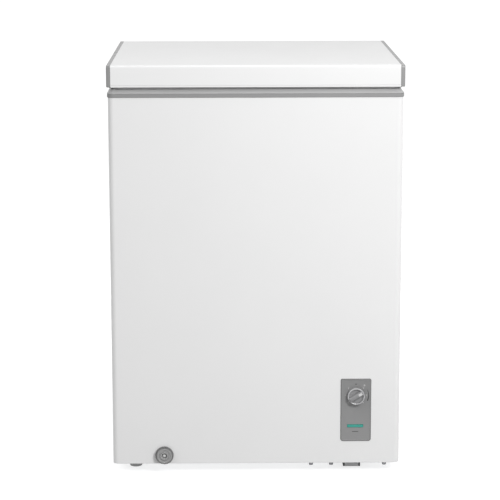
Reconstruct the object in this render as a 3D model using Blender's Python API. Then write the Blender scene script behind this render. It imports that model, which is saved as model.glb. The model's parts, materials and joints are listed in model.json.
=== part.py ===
"""A small chest freezer with a lift-up lid, built from its separate pieces.

Metres, +Z up, origin on the floor under the middle of the freezer. The front faces -Y. Each piece is one
object: the cabinet with its insulated tub, the lid on its two sprung hinges, the thermostat, the defrost
drain, the compressor bay in the lower right corner, and the basket that hangs in the tub.
"""

from math import cos, radians, sin, tau

import bmesh
import bpy
from mathutils import Matrix, Vector

# Overall
HEIGHT = 0.850
LID_WIDTH = 0.598
CABINET_WIDTH = 0.594
FRONT, BACK = -0.264, 0.256  # outer faces of the cabinet
FRONT_MOST, REAR_MOST = -0.280, 0.280  # the knob's face and the hinge covers
BASE = 0.0215  # underside of the cabinet, at the top of the feet
GAP = 0.0003  # clearance between pieces that touch
SHEET = 0.001  # steel and aluminium sheet
CORNER = 0.012  # upright corners of the cabinet

# Walls
WALL = 0.050  # from the cabinet's outer face to the inside of the tub
COIL_SPACE = 0.0085  # behind the tub's wall, for the evaporator tube
SKIN_SPACE = 0.0065  # behind the outer sheet, for the condenser tube
TUB_CORNER = 0.030
TUB_FLOOR = 0.075
TUB_STEP = 0.315  # top of the step over the compressor bay
STEP_X = 0.055  # side of the step, in the tub
BAY_X, BAY_TOP = 0.1035, 0.263  # side and ceiling of the compressor bay

# Collar round the tub's mouth, and the lid on it
COLLAR_BOTTOM, COLLAR_EDGE, COLLAR_TOP = 0.785, 0.793, 0.8015
COLLAR_PROUD = 0.0015
LEDGE = 0.789  # where the basket hangs
LID_FRONT, LID_BACK = -0.268, 0.262
LID_BOTTOM = 0.806
LID_EDGE = 0.005
CAP_THICK = 0.0082
PLUG_BOTTOM = 0.7935  # the part of the lid that reaches down into the tub's mouth
PLUG_MARGIN = 0.006

# Hinges
HINGE_X = 0.190
PIVOT_Y, PIVOT_Z = 0.270, 0.800
PIN_RADIUS = 0.003
EAR_RADIUS = 0.0085
EAR_INNER, EAR_OUTER = 0.017, 0.020

# Thermostat panel
PANEL_X, PANEL_WIDTH = 0.206, 0.061
PANEL_BOTTOM, PANEL_TOP = 0.0694, 0.2007
PANEL_PROUD = 0.0018
KNOB_Z, KNOB_RADIUS = 0.1665, 0.018
KNOB_POINTS_AT = 58  # degrees clockwise from straight up
WINDOW_X, WINDOW_Z = 0.205, 0.1012
WINDOW_SIZE = (0.033, 0.006)

# Defrost drain
DRAIN_X, DRAIN_Z = -0.190, 0.041
DIAL_RADIUS, SPOUT_RADIUS = 0.019, 0.0089
DRAIN_HOLE_Y = -0.185

# Compressor
COMPRESSOR_X, COMPRESSOR_Y = 0.200, 0.115
TRAY_THICK = 0.002
BOLT_X = (0.115, 0.157, 0.268)
BOLT_Y = (-0.238, 0.230)
BOLT_LONG = 0.012

# Feet
FOOT_IN = 0.059  # from the cabinet's front and back
LEFT_FOOT_X, RIGHT_FOOT_X = -0.252, 0.201

# Basket
BASKET_LEFT, BASKET_WIDTH = -0.240, 0.200
BASKET_FRONT, BASKET_BACK = -0.205, 0.197
BASKET_DEPTH = 0.200
BASKET_WALL = 0.002

COLOURS = {  # linear colour, roughness, metallic
    "white_paint": ((0.83, 0.84, 0.84), 0.35, 0.0),
    "grey_plastic": ((0.28, 0.28, 0.28), 0.45, 0.0),
    "white_plastic": ((0.80, 0.80, 0.79), 0.40, 0.0),
    "black_plastic": ((0.02, 0.02, 0.02), 0.50, 0.0),
    "teal_plastic": ((0.01, 0.30, 0.24), 0.20, 0.0),
    "foam": ((0.80, 0.70, 0.42), 0.90, 0.0),
    "stucco_aluminium": ((0.72, 0.73, 0.74), 0.35, 1.0),
    "zinc_steel": ((0.55, 0.56, 0.57), 0.40, 1.0),
    "black_steel": ((0.015, 0.015, 0.017), 0.35, 0.0),
    "copper": ((0.80, 0.42, 0.26), 0.30, 1.0),
    "rubber": ((0.03, 0.03, 0.03), 0.80, 0.0),
    "grey_rubber": ((0.22, 0.22, 0.22), 0.75, 0.0),
    "white_wire": ((0.85, 0.85, 0.84), 0.40, 0.0),
}


def clear_scene():
    for obj in list(bpy.data.objects):
        bpy.data.objects.remove(obj, do_unlink=True)


def material(name, slot):
    colour, roughness, metallic = COLOURS[slot]
    made = bpy.data.materials.new(name)
    made.use_nodes = True
    shader = made.node_tree.nodes["Principled BSDF"]
    shader.inputs["Base Color"].default_value = (*colour, 1.0)
    shader.inputs["Roughness"].default_value = roughness
    shader.inputs["Metallic"].default_value = metallic
    return made


def add_object(name, data, slot, pivot=(0, 0, 0)):
    """Puts the mesh or curve in the scene, with its origin at the pivot."""
    data.transform(Matrix.Translation(-Vector(pivot)))
    data.materials.append(material(name, slot))
    obj = bpy.data.objects.new(name, data)
    obj.location = pivot
    bpy.context.scene.collection.objects.link(obj)
    return obj


def loft(name, loops, slot, closed=False, pivot=(0, 0, 0), smooth=False):
    """A skin through loops of equally many points, capped at both ends or joined end to end."""
    bm = bmesh.new()
    rows = [[bm.verts.new(point) for point in loop] for loop in loops]
    pairs = list(zip(rows, rows[1:] + rows[:1]))
    for row, following in pairs if closed else pairs[:-1]:
        for i in range(len(row)):
            j = (i + 1) % len(row)
            bm.faces.new((row[i], row[j], following[j], following[i]))
    if not closed:
        bm.faces.new(rows[0])
        bm.faces.new(rows[-1])
    bmesh.ops.recalc_face_normals(bm, faces=bm.faces)
    mesh = bpy.data.meshes.new(name)
    bm.to_mesh(mesh)
    bm.free()
    if smooth:
        mesh.shade_smooth()
        mesh.set_sharp_from_angle(angle=radians(40))
    return add_object(name, mesh, slot, pivot)


def placed(point, across, axis):
    """A flat point (a, b) put at a distance along the named axis."""
    a, b = point
    if axis == "X":
        return (across, a, b)
    return (a, across, b) if axis == "Y" else (a, b, across)


def extruded(name, outline, axis, low, high, slot, **options):
    """A flat outline pushed along X, Y or Z. It is (y, z), (x, z) or (x, y) in turn."""
    loops = [[placed(point, across, axis) for point in outline] for across in (low, high)]
    return loft(name, loops, slot, **options)


def box(name, low, high, slot, **options):
    (x0, y0, z0), (x1, y1, z1) = low, high
    outline = [(x0, y0), (x1, y0), (x1, y1), (x0, y1)]
    return extruded(name, outline, "Z", z0, z1, slot, **options)


def arc(centre, radius, start, end, steps):
    """Points on an arc, with its angles in degrees."""
    angles = [radians(start + (end - start) * i / steps) for i in range(steps + 1)]
    return [(centre[0] + radius * cos(a), centre[1] + radius * sin(a)) for a in angles]


def rounded(a0, a1, b0, b1, radius, top_radius=None, steps=5):
    """A rectangle's outline with round corners, and its own radius at the b1 side where given."""
    upper = radius if top_radius is None else top_radius
    corners = (
        ((a0 + radius, b0 + radius), radius, 180),
        ((a1 - radius, b0 + radius), radius, 270),
        ((a1 - upper, b1 - upper), upper, 0),
        ((a0 + upper, b1 - upper), upper, 90),
    )
    return [p for centre, r, start in corners for p in arc(centre, r, start, start + 90, steps)]


def cabinet_loop(inset, z, radius):
    """The cabinet's plan outline, set in from its outer faces."""
    half = CABINET_WIDTH / 2 - inset
    return [(x, y, z) for x, y in rounded(-half, half, FRONT + inset, BACK - inset, radius)]


def channel(a0, a1, shut, mouth, radius, sheet=SHEET):
    """A sheet bent into a U across a0 to a1, with round corners at its shut side."""
    way = 1 if mouth > shut else -1

    def turned_up(edge, corner):
        left = arc((a0 + edge + corner, shut + way * (edge + corner)), corner, 180, 180 + 90 * way, 5)
        right = arc((a1 - edge - corner, shut + way * (edge + corner)), corner, -90 * way, 0, 5)
        return [(a0 + edge, mouth), *left, *right, (a1 - edge, mouth)]

    return turned_up(0, radius) + turned_up(sheet, radius - sheet)[::-1]


def circle(radius, along, centre, axis, segments, ripple=0.0):
    """A circle across the axis. A ripple draws every other point in, for a fluted edge."""
    points = []
    for i in range(segments):
        r = radius - ripple * (i % 2)
        flat = (centre[0] + r * cos(tau * i / segments), centre[1] + r * sin(tau * i / segments))
        points.append(placed(flat, along, axis))
    return points


def turned(name, profile, centre, axis, slot, segments=24, ring=False, ripple=0.0, **options):
    """A turned piece: the profile is (radius, place along the axis), and a ring has an open bore."""
    widest = max(radius for radius, _ in profile)
    loops = [
        circle(radius, along, centre, axis, segments, ripple if radius == widest else 0.0)
        for radius, along in profile
    ]
    return loft(name, loops, slot, closed=ring, smooth=True, **options)


def filleted(points, radius, steps=4):
    """The polyline with each inner corner turned into an arc."""
    route = [Vector(points[0])]
    for before, corner, after in zip(points, points[1:], points[2:]):
        here = Vector(corner)
        back = (Vector(before) - here).normalized()
        on = (Vector(after) - here).normalized()
        half_angle = back.angle(on) / 2
        reach = radius / (sin(half_angle) / cos(half_angle))
        centre = here + (back + on).normalized() * (radius / sin(half_angle))
        start, end = here + back * reach - centre, here + on * reach - centre
        route += [centre + start.lerp(end, i / steps).normalized() * radius for i in range(steps + 1)]
    return [*route, Vector(points[-1])]


def tube(name, route, radius, slot, sides_step=1):
    """A solid round bar along a route."""
    curve = bpy.data.curves.new(name, "CURVE")
    curve.dimensions = "3D"
    curve.bevel_depth = radius
    curve.bevel_resolution = sides_step
    curve.use_fill_caps = True
    spline = curve.splines.new("POLY")
    spline.points.add(len(route) - 1)
    for point, place in zip(spline.points, route):
        point.co = (*place, 1.0)
    return add_object(name, curve, slot)


def boolean(target, helper, operation):
    """Cuts the helper from the target, or joins it on, and hides the helper."""
    modifier = target.modifiers.new(helper.name, "BOOLEAN")
    modifier.object = helper
    modifier.operation = operation
    modifier.solver = "EXACT"
    helper.hide_render = True
    helper.display_type = "WIRE"


def cut(target, *helpers):
    for helper in helpers:
        boolean(target, helper, "DIFFERENCE")


def join(target, *helpers):
    for helper in helpers:
        boolean(target, helper, "UNION")


def bevelled(obj, width, segments=2):
    modifier = obj.modifiers.new("edges", "BEVEL")
    modifier.width = width
    modifier.segments = segments
    modifier.limit_method = "ANGLE"
    modifier.angle_limit = radians(40)
    return obj


def add_cabinet():
    half = CABINET_WIDTH / 2
    top = COLLAR_BOTTOM - GAP
    outline = channel(-half, half, FRONT, BACK - SHEET - GAP, CORNER)
    shell = extruded("outer_shell", outline, "Z", BASE, top, "white_paint")
    edge = 0.0035  # how far the thermostat panel covers its opening
    left, right = PANEL_X - PANEL_WIDTH / 2 + edge, PANEL_X + PANEL_WIDTH / 2 - edge
    panel_hole = box(
        "panel_hole", (left, FRONT - 0.01, PANEL_BOTTOM + edge), (right, FRONT + 0.01, PANEL_TOP - edge), "foam"
    )
    drain_hole = turned(
        "drain_hole", [(0.0125, FRONT - 0.01), (0.0125, FRONT + 0.01)], (DRAIN_X, DRAIN_Z), "Y", "foam"
    )
    cut(shell, panel_hole, drain_hole)

    bay = BAY_X + SHEET / 2
    back_outline = [(-half, BASE), (bay, BASE), (bay, BAY_TOP), (half, BAY_TOP), (half, top), (-half, top)]
    extruded("back_panel", back_outline, "Y", BACK - SHEET, BACK, "white_paint")

    inside_x, inside_front = half - SHEET - 0.0005, FRONT + SHEET + 0.0005
    inside_back = BACK - SHEET - 0.0005
    plate = rounded(-inside_x, BAY_X - SHEET / 2 - GAP, inside_front, inside_back, CORNER - SHEET)
    extruded("base_plate", plate, "Z", BASE, BASE + SHEET, "zinc_steel")
    low, high = BAY_X - SHEET / 2, BAY_X + SHEET / 2
    under, over = BAY_TOP - SHEET / 2, BAY_TOP + SHEET / 2
    bulkhead = [
        (low, BASE + GAP),
        (high, BASE + GAP),
        (high, under),
        (inside_x, under),
        (inside_x, over),
        (low, over),
    ]
    extruded("compressor_bulkhead", bulkhead, "Y", FRONT + CORNER, inside_back, "zinc_steel")
    add_body_foam(top)
    add_inner_liner(top)
    add_coils()
    add_collar()


def tub_rect(grow):
    """The upper tub's inner faces in plan, grown outwards: x0, x1, y0, y1."""
    half = CABINET_WIDTH / 2 - WALL + grow
    return -half, half, FRONT + WALL - grow, BACK - WALL + grow


def well_rect(grow):
    """The narrower well beside the step, a bead's width inside the upper tub."""
    bead = 0.002
    x0, _, y0, y1 = tub_rect(grow - bead)
    return x0, STEP_X + grow, y0, y1


def flat_loop(rect, z, radius=TUB_CORNER):
    return [(x, y, z) for x, y in rounded(*rect, radius)]


def add_body_foam(top):
    inset = SHEET + SKIN_SPACE
    loops = [cabinet_loop(inset, z, CORNER / 2) for z in (BASE + SHEET + GAP, top)]
    foam = loft("body_foam", loops, "foam")
    grow = SHEET + COIL_SPACE
    step = TUB_STEP - grow
    hollow = loft(
        "foam_hollow",
        [
            flat_loop(well_rect(grow), TUB_FLOOR - grow),
            flat_loop(well_rect(grow), step),
            flat_loop(tub_rect(grow), step),
            flat_loop(tub_rect(grow), HEIGHT),
        ],
        "foam",
    )
    bay = box(
        "bay_hollow",
        (BAY_X - SHEET / 2 - GAP, FRONT - 0.01, 0.0),
        (LID_WIDTH, BACK + 0.01, BAY_TOP + SHEET / 2 + GAP),
        "foam",
    )
    channel_half = 0.016
    drain_way = box(
        "drain_way",
        (DRAIN_X - channel_half, FRONT - 0.01, 0.0),
        (DRAIN_X + channel_half, DRAIN_HOLE_Y + channel_half, TUB_FLOOR),
        "foam",
    )
    cut(foam, hollow, bay, drain_way)


def add_inner_liner(top):
    loops = [
        flat_loop(well_rect(SHEET), TUB_FLOOR - SHEET),
        flat_loop(well_rect(SHEET), TUB_STEP - SHEET),
        flat_loop(tub_rect(SHEET), TUB_STEP - SHEET),
        flat_loop(tub_rect(SHEET), top),
        flat_loop(tub_rect(0), top),
        flat_loop(tub_rect(0), TUB_STEP),
        flat_loop(well_rect(0), TUB_STEP),
        flat_loop(well_rect(0), TUB_FLOOR),
    ]
    liner = loft("inner_liner", loops, "stucco_aluminium")
    outlet = turned(
        "liner_outlet",
        [(0.010, TUB_FLOOR - 0.01), (0.010, TUB_FLOOR + 0.01)],
        (DRAIN_X, DRAIN_HOLE_Y),
        "Z",
        "foam",
    )
    cut(liner, outlet)


def add_coils():
    """The evaporator tube wound round the tub, and the condenser tube bonded inside the outer sheet."""
    turns, low, pitch = 7, 0.360, 0.055
    middle = SHEET + COIL_SPACE / 2
    around = rounded(*tub_rect(middle), TUB_CORNER + middle)
    wound = [
        (*around[i % len(around)], low + pitch * i / len(around)) for i in range(turns * len(around) + 1)
    ]
    tube("evaporator_coil", wound, 0.003, "copper")

    runs, low, pitch = 6, 0.350, 0.065
    side = CABINET_WIDTH / 2 - SHEET - SKIN_SPACE / 2
    ahead, behind = FRONT + SHEET + SKIN_SPACE / 2, BACK - 0.036
    snake = []
    for i in range(runs):
        z = low + pitch * i
        run = [(-side, behind, z), (-side, ahead, z), (side, ahead, z), (side, behind, z)]
        snake += run if i % 2 == 0 else run[::-1]
    tube("condenser_coil", filleted(snake, 0.0075, 3), 0.0025, "copper")


def add_collar():
    """The moulded frame that caps the walls round the tub's mouth, with a ledge for the basket."""
    thick = 0.002
    inner, lip = 0.040, WALL + 0.0005
    slope = COLLAR_TOP - COLLAR_EDGE
    section = [
        (-COLLAR_PROUD, COLLAR_BOTTOM),
        (-COLLAR_PROUD, COLLAR_EDGE),
        (slope - COLLAR_PROUD, COLLAR_TOP),
        (inner, COLLAR_TOP),
        (inner, LEDGE),
        (lip, LEDGE),
        (lip, COLLAR_BOTTOM),
        (lip - thick, COLLAR_BOTTOM),
        (lip - thick, LEDGE - thick),
        (inner - thick, LEDGE - thick),
        (inner - thick, COLLAR_TOP - thick),
        (slope - COLLAR_PROUD + thick / 2, COLLAR_TOP - thick),
        (thick - COLLAR_PROUD, COLLAR_EDGE - thick / 2),
        (thick - COLLAR_PROUD, COLLAR_BOTTOM),
    ]
    loops = []
    for inset, z in section:
        radius = CORNER - inset if inset < inner / 2 else TUB_CORNER + WALL - inset
        loops.append(cabinet_loop(inset, z, radius))
    loft("collar_frame", loops, "grey_plastic", closed=True)


def add_thermostat():
    half = PANEL_WIDTH / 2
    face = FRONT - PANEL_PROUD

    def panel_loop(inset, y):
        low, high = PANEL_BOTTOM + inset, PANEL_TOP - inset
        flat = rounded(PANEL_X - half + inset, PANEL_X + half - inset, low, high, 0.0045, 0.0025)
        return [(x, y, z) for x, z in flat]

    inside = 0.004
    panel = loft(
        "control_fascia",
        [
            panel_loop(0.0006, face),
            panel_loop(0.0, face + 0.0006),
            panel_loop(0.0, FRONT - GAP),
            panel_loop(inside, FRONT - GAP),
            panel_loop(inside, FRONT + 0.005),
        ],
        "grey_plastic",
    )
    shaft_hole = turned(
        "shaft_hole", [(0.0045, face - 0.01), (0.0045, FRONT + 0.02)], (PANEL_X, KNOB_Z), "Y", "foam"
    )
    width, tall = WINDOW_SIZE
    low = (WINDOW_X - width / 2, WINDOW_Z - tall / 2)
    high = (WINDOW_X + width / 2, WINDOW_Z + tall / 2)
    window_hole = box(
        "window_hole",
        (low[0] - GAP, face - 0.01, low[1] - GAP),
        (high[0] + GAP, FRONT + 0.02, high[1] + GAP),
        "foam",
    )
    cut(panel, shaft_hole, window_hole)

    lens = rounded(low[0], high[0], low[1], high[1], 0.001, steps=2)
    extruded("indicator_window", lens, "Y", face - 0.0004, FRONT + 0.004, "teal_plastic")
    box(
        "indicator_lamp",
        (WINDOW_X - 0.008, FRONT + 0.0055, WINDOW_Z - 0.005),
        (WINDOW_X + 0.008, FRONT + 0.020, WINDOW_Z + 0.005),
        "white_plastic",
    )
    body_front = FRONT + 0.0055
    bevelled(
        box(
            "thermostat_body",
            (PANEL_X - 0.020, body_front, KNOB_Z - 0.018),
            (PANEL_X + 0.020, body_front + 0.030, KNOB_Z + 0.018),
            "zinc_steel",
        ),
        0.002,
        1,
    )
    knob_back = face - 0.0006
    pivot = (PANEL_X, knob_back, KNOB_Z)
    turned(
        "thermostat_shaft",
        [(PIN_RADIUS, knob_back + GAP), (PIN_RADIUS, body_front - GAP)],
        (PANEL_X, KNOB_Z),
        "Y",
        "white_plastic",
        segments=12,
        pivot=pivot,
    )
    add_knob(knob_back, pivot)


def add_knob(knob_back, pivot):
    """A cupped knob with a grip bar across its face, which points at the setting."""
    rim, dish = FRONT_MOST + 0.0035, FRONT_MOST + 0.0075
    profile = [
        (KNOB_RADIUS - 0.0008, knob_back),
        (KNOB_RADIUS, knob_back - 0.002),
        (KNOB_RADIUS - 0.001, rim + 0.001),
        (KNOB_RADIUS - 0.002, rim),
        (KNOB_RADIUS - 0.003, rim),
        (KNOB_RADIUS - 0.0042, dish),
    ]
    knob = turned(
        "thermostat_knob", profile, (PANEL_X, KNOB_Z), "Y", "grey_plastic", segments=40, pivot=pivot
    )
    along, across = KNOB_RADIUS - 0.0018, 0.0034
    bar = bevelled(
        box("knob_bar", (-across, FRONT_MOST, -along), (across, dish + 0.001, along), "grey_plastic"),
        0.001,
    )
    bar.matrix_world = Matrix.Translation((PANEL_X, 0, KNOB_Z)) @ Matrix.Rotation(
        radians(KNOB_POINTS_AT), 4, "Y"
    )
    join(knob, bar)


def add_drain():
    """The front outlet: a sleeve in the sheet, a spout that pulls out, and the dial that turns on it."""
    centre = (DRAIN_X, DRAIN_Z)
    bore = SPOUT_RADIUS + 0.0005
    flange = FRONT - 0.0018
    turned(
        "drain_bezel",
        [(bore, flange), (0.017, flange), (0.0175, FRONT - GAP), (0.012, FRONT - GAP)]
        + [(0.012, FRONT + 0.018), (bore, FRONT + 0.018)],
        centre,
        "Y",
        "grey_plastic",
        segments=32,
        ring=True,
    )
    tip, tail = FRONT - 0.0125, FRONT + 0.028
    hollow = 0.0035
    turned(
        "drain_spout",
        [(hollow, tip), (SPOUT_RADIUS - 0.001, tip), (SPOUT_RADIUS, tip + 0.001)]
        + [(SPOUT_RADIUS, tail), (hollow, tail)],
        centre,
        "Y",
        "grey_plastic",
        segments=32,
        ring=True,
        pivot=(DRAIN_X, tip, DRAIN_Z),
    )
    dial_bore = SPOUT_RADIUS + GAP
    near, far = flange - GAP, tip + 0.0005
    turned(
        "drain_dial",
        [(dial_bore, near), (DIAL_RADIUS, near), (DIAL_RADIUS, far + 0.002)]
        + [(DIAL_RADIUS - 0.002, far), (dial_bore + 0.0025, far), (dial_bore, far + 0.0015)],
        centre,
        "Y",
        "grey_plastic",
        segments=48,
        ring=True,
        ripple=0.0007,
        pivot=(DRAIN_X, near, DRAIN_Z),
    )
    route = [
        (DRAIN_X, tail + GAP, DRAIN_Z),
        (DRAIN_X, DRAIN_HOLE_Y, DRAIN_Z),
        (DRAIN_X, DRAIN_HOLE_Y, TUB_FLOOR - SHEET - GAP),
    ]
    tube("drain_tube", filleted(route, 0.015), 0.008, "white_plastic", 2)
    floor = TUB_FLOOR + GAP
    turned(
        "drain_plug",
        [(0.0080, TUB_FLOOR - SHEET), (0.0085, floor), (0.013, floor), (0.013, floor + 0.002)]
        + [(0.011, floor + 0.004), (0.004, floor + 0.004)],
        (DRAIN_X, DRAIN_HOLE_Y),
        "Z",
        "grey_rubber",
        pivot=(DRAIN_X, DRAIN_HOLE_Y, floor),
    )


def add_compressor():
    left, right = BAY_X + SHEET / 2 + GAP, CABINET_WIDTH / 2 - SHEET - 0.0005
    ahead, behind = FRONT + SHEET + 0.0005, BACK - SHEET - 0.0005
    rim_up = BASE + 0.010

    def tray_loop(inset, z):
        outline = rounded(left + inset, right - inset, ahead + inset, behind - inset, CORNER - SHEET)
        return [(x, y, z) for x, y in outline]

    floor = BASE + TRAY_THICK
    loft(
        "compressor_tray",
        [tray_loop(0, BASE), tray_loop(0, rim_up), tray_loop(TRAY_THICK, rim_up), tray_loop(TRAY_THICK, floor)],
        "zinc_steel",
    )
    centre = (COMPRESSOR_X, COMPRESSOR_Y)
    plate_half, plate_bottom, plate_top = 0.072, floor + 0.017, floor + 0.019
    mount_at = plate_half - 0.014
    for number, (sx, sy) in enumerate(((-1, -1), (1, -1), (1, 1), (-1, 1)), start=1):
        turned(
            f"compressor_mount_{number}",
            [(0.011, floor + GAP), (0.011, floor + 0.005), (0.008, floor + 0.007)]
            + [(0.008, floor + 0.011), (0.011, floor + 0.013), (0.011, plate_bottom - GAP)],
            (COMPRESSOR_X + sx * mount_at, COMPRESSOR_Y + sy * mount_at),
            "Z",
            "rubber",
            segments=12,
        )
    plate = rounded(
        COMPRESSOR_X - plate_half,
        COMPRESSOR_X + plate_half,
        COMPRESSOR_Y - plate_half,
        COMPRESSOR_Y + plate_half,
        0.012,
        steps=3,
    )
    extruded("compressor_bracket", plate, "Z", plate_bottom, plate_top, "zinc_steel")
    foot = plate_top + GAP
    radius, seam = 0.064, 0.0025
    dome = [
        (0.038, foot),
        (0.056, foot + 0.008),
        (radius, foot + 0.026),
        (radius, foot + 0.054),
        (radius + seam, foot + 0.056),
        (radius + seam, foot + 0.060),
        (radius, foot + 0.062),
        (radius, foot + 0.108),
        (0.057, foot + 0.134),
        (0.040, foot + 0.149),
        (0.015, foot + 0.155),
    ]
    turned("compressor", dome, centre, "Z", "black_steel", segments=28)
    side = COMPRESSOR_Y - radius - seam - 0.001
    bevelled(
        box(
            "terminal_cover",
            (COMPRESSOR_X - 0.026, side - 0.028, foot + 0.062),
            (COMPRESSOR_X + 0.026, side, foot + 0.112),
            "black_plastic",
        ),
        0.003,
    )
    add_pipes(foot, radius)


def add_pipes(foot, radius):
    drier_x, drier_y, drier_low, drier_high = 0.125, 0.215, 0.100, 0.210
    turned(
        "filter_drier",
        [(0.004, drier_low), (0.010, drier_low + 0.012), (0.010, drier_high - 0.012), (0.004, drier_high)],
        (drier_x, drier_y),
        "Z",
        "copper",
        segments=16,
    )
    pipe, level = 0.003, foot + 0.085
    rear = COMPRESSOR_Y + radius + 0.0005
    discharge = [
        (COMPRESSOR_X, rear, level),
        (COMPRESSOR_X, drier_y, level),
        (COMPRESSOR_X, drier_y, drier_high + 0.022),
        (drier_x, drier_y, drier_high + 0.022),
        (drier_x, drier_y, drier_high + GAP),
    ]
    tube("discharge_tube", filleted(discharge, 0.010, 3), pipe, "copper")
    side, beside = COMPRESSOR_X - radius - 0.0005, BAY_X + 0.014
    suction = [
        (side, COMPRESSOR_Y, level),
        (beside, COMPRESSOR_Y, level),
        (beside, COMPRESSOR_Y, BAY_TOP - 0.020),
        (beside, FRONT + 0.100, BAY_TOP - 0.020),
    ]
    tube("suction_tube", filleted(suction, 0.010, 3), pipe + 0.001, "copper")


def add_grille():
    """The vented steel cover over the bay's opening in the back, and the gland for the mains lead."""
    left, right = BAY_X + SHEET / 2 + GAP, CABINET_WIDTH / 2
    low, high = BASE, BAY_TOP - GAP
    seat, face, thick, slant = BACK - SHEET, BACK + 0.012, 0.0012, 0.006

    def cover_loop(inset, y):
        return [(x, y, z) for x, z in rounded(left + inset, right - inset, low + inset, high - inset, 0.008)]

    cover = loft(
        "compressor_grille",
        [
            cover_loop(slant + thick, face - thick),
            cover_loop(thick + 0.004, seat),
            cover_loop(0, seat),
            cover_loop(0, seat + thick),
            cover_loop(0.004, seat + thick),
            cover_loop(slant, face),
        ],
        "zinc_steel",
    )
    slots, pitch, tall = 9, 0.020, 0.006
    for i in range(slots):
        z = low + 0.052 + pitch * i
        cut(
            cover,
            box(f"vent_{i}", (left + 0.022, BACK, z), (right - 0.022, face + 0.01, z + tall), "foam"),
        )
    bore = 0.004
    turned(
        "cord_gland",
        [(bore, face + GAP), (0.011, face + GAP), (0.011, face + 0.003), (0.008, face + 0.005)]
        + [(0.007, face + 0.0095), (bore, face + 0.0095)],
        (right - 0.030, low + 0.026),
        "Y",
        "black_plastic",
        segments=20,
        ring=True,
    )


def add_feet():
    top = BASE - GAP
    for name, y in (("foot_front_left", FRONT + FOOT_IN), ("foot_rear_left", BACK - FOOT_IN)):
        turned(
            name,
            [(0.0115, 0.0), (0.013, 0.002), (0.013, 0.012), (0.010, 0.014), (0.010, top)],
            (LEFT_FOOT_X, y),
            "Z",
            "black_plastic",
            segments=20,
        )
    half_width, half_long, centre_x = 0.018, 0.020, RIGHT_FOOT_X
    for name, y in (("foot_front_right", FRONT + FOOT_IN), ("foot_rear_right", BACK - FOOT_IN)):
        block = box(
            name,
            (centre_x - half_width, y - half_long, 0.0),
            (centre_x + half_width, y + half_long, top),
            "grey_plastic",
        )
        bevelled(block, 0.0015)
    for row, y in zip(("front", "rear"), BOLT_Y):
        for number, x in enumerate(BOLT_X, start=1):
            turned(
                f"tray_bolt_{row}_{number}",
                [(0.0040, top - BOLT_LONG), (0.0045, top - BOLT_LONG + 0.001), (0.0045, top)],
                (x, y),
                "Z",
                "zinc_steel",
                segments=6,
            )


def lid_outline(inset):
    """The lid's end view, in y and z."""
    return rounded(
        LID_FRONT + inset, LID_BACK - inset, LID_BOTTOM + inset, HEIGHT - inset, 0.0015, LID_EDGE
    )


def add_lid():
    pivot = (0, PIVOT_Y, PIVOT_Z)
    inside = LID_WIDTH / 2 - CAP_THICK
    skin = channel(LID_FRONT, LID_BACK, HEIGHT, LID_BOTTOM, LID_EDGE)
    extruded("lid_skin", skin, "X", -inside + GAP, inside - GAP, "white_paint", pivot=pivot)
    for name, side in (("lid_end_cap_left", -1), ("lid_end_cap_right", 1)):
        low, high = sorted((side * inside, side * LID_WIDTH / 2))
        bevelled(extruded(name, lid_outline(0), "X", low, high, "grey_plastic", pivot=pivot), 0.001)

    half, edge = inside - 2 * GAP, SHEET + GAP
    front, back = LID_FRONT + edge, LID_BACK - edge
    plug = tub_rect(-PLUG_MARGIN)
    panel_thick, bottom = 0.0015, LID_BOTTOM + GAP
    corner = 0.020

    def rim_loop(z, inset=0.0):
        return flat_loop((-half + inset, half - inset, front + inset, back - inset), z, 0.002)

    def plug_loop(z, inset):
        x0, x1, y0, y1 = plug
        return flat_loop((x0 + inset, x1 - inset, y0 + inset, y1 - inset), z, max(corner - inset, 0.010))

    draft, clear = 0.004, panel_thick + GAP
    field, slope, rise, edge_thick = 0.034, 0.007, 0.005, 0.0006  # the panel's pressed-in middle
    loft(
        "lid_liner",
        [
            plug_loop(PLUG_BOTTOM + rise, field + slope),
            plug_loop(PLUG_BOTTOM, field),
            plug_loop(PLUG_BOTTOM, draft),
            plug_loop(bottom, 0.0),
            rim_loop(bottom),
            rim_loop(bottom + panel_thick),
            plug_loop(bottom + panel_thick, panel_thick),
            plug_loop(PLUG_BOTTOM + panel_thick, draft + panel_thick),
            plug_loop(PLUG_BOTTOM + panel_thick, field - edge_thick),
            plug_loop(PLUG_BOTTOM + rise + panel_thick, field + slope - edge_thick),
        ],
        "white_plastic",
        pivot=pivot,
    )
    foam_low = bottom + clear
    loft(
        "lid_foam",
        [
            plug_loop(PLUG_BOTTOM + rise + clear, field + slope - 2 * edge_thick),
            plug_loop(PLUG_BOTTOM + clear, field - 2 * edge_thick),
            plug_loop(PLUG_BOTTOM + clear, draft + clear),
            plug_loop(foam_low, clear),
            rim_loop(foam_low),
            rim_loop(HEIGHT - LID_EDGE),
            rim_loop(HEIGHT - SHEET - GAP, LID_EDGE),
        ],
        "foam",
        pivot=pivot,
    )
    add_gasket(pivot)


def add_gasket(pivot):
    seat, top = COLLAR_TOP + GAP, LID_BOTTOM - GAP
    near, far, bulge = 0.014, 0.032, 0.0015
    section = [
        (near, seat + 0.001),
        (near + bulge, seat),
        (far - bulge, seat),
        (far, seat + 0.001),
        (far, top),
        (near, top),
    ]
    loops = [cabinet_loop(inset, z, 0.020) for inset, z in section]
    loft("lid_gasket", loops, "grey_rubber", closed=True, pivot=pivot)


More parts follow.
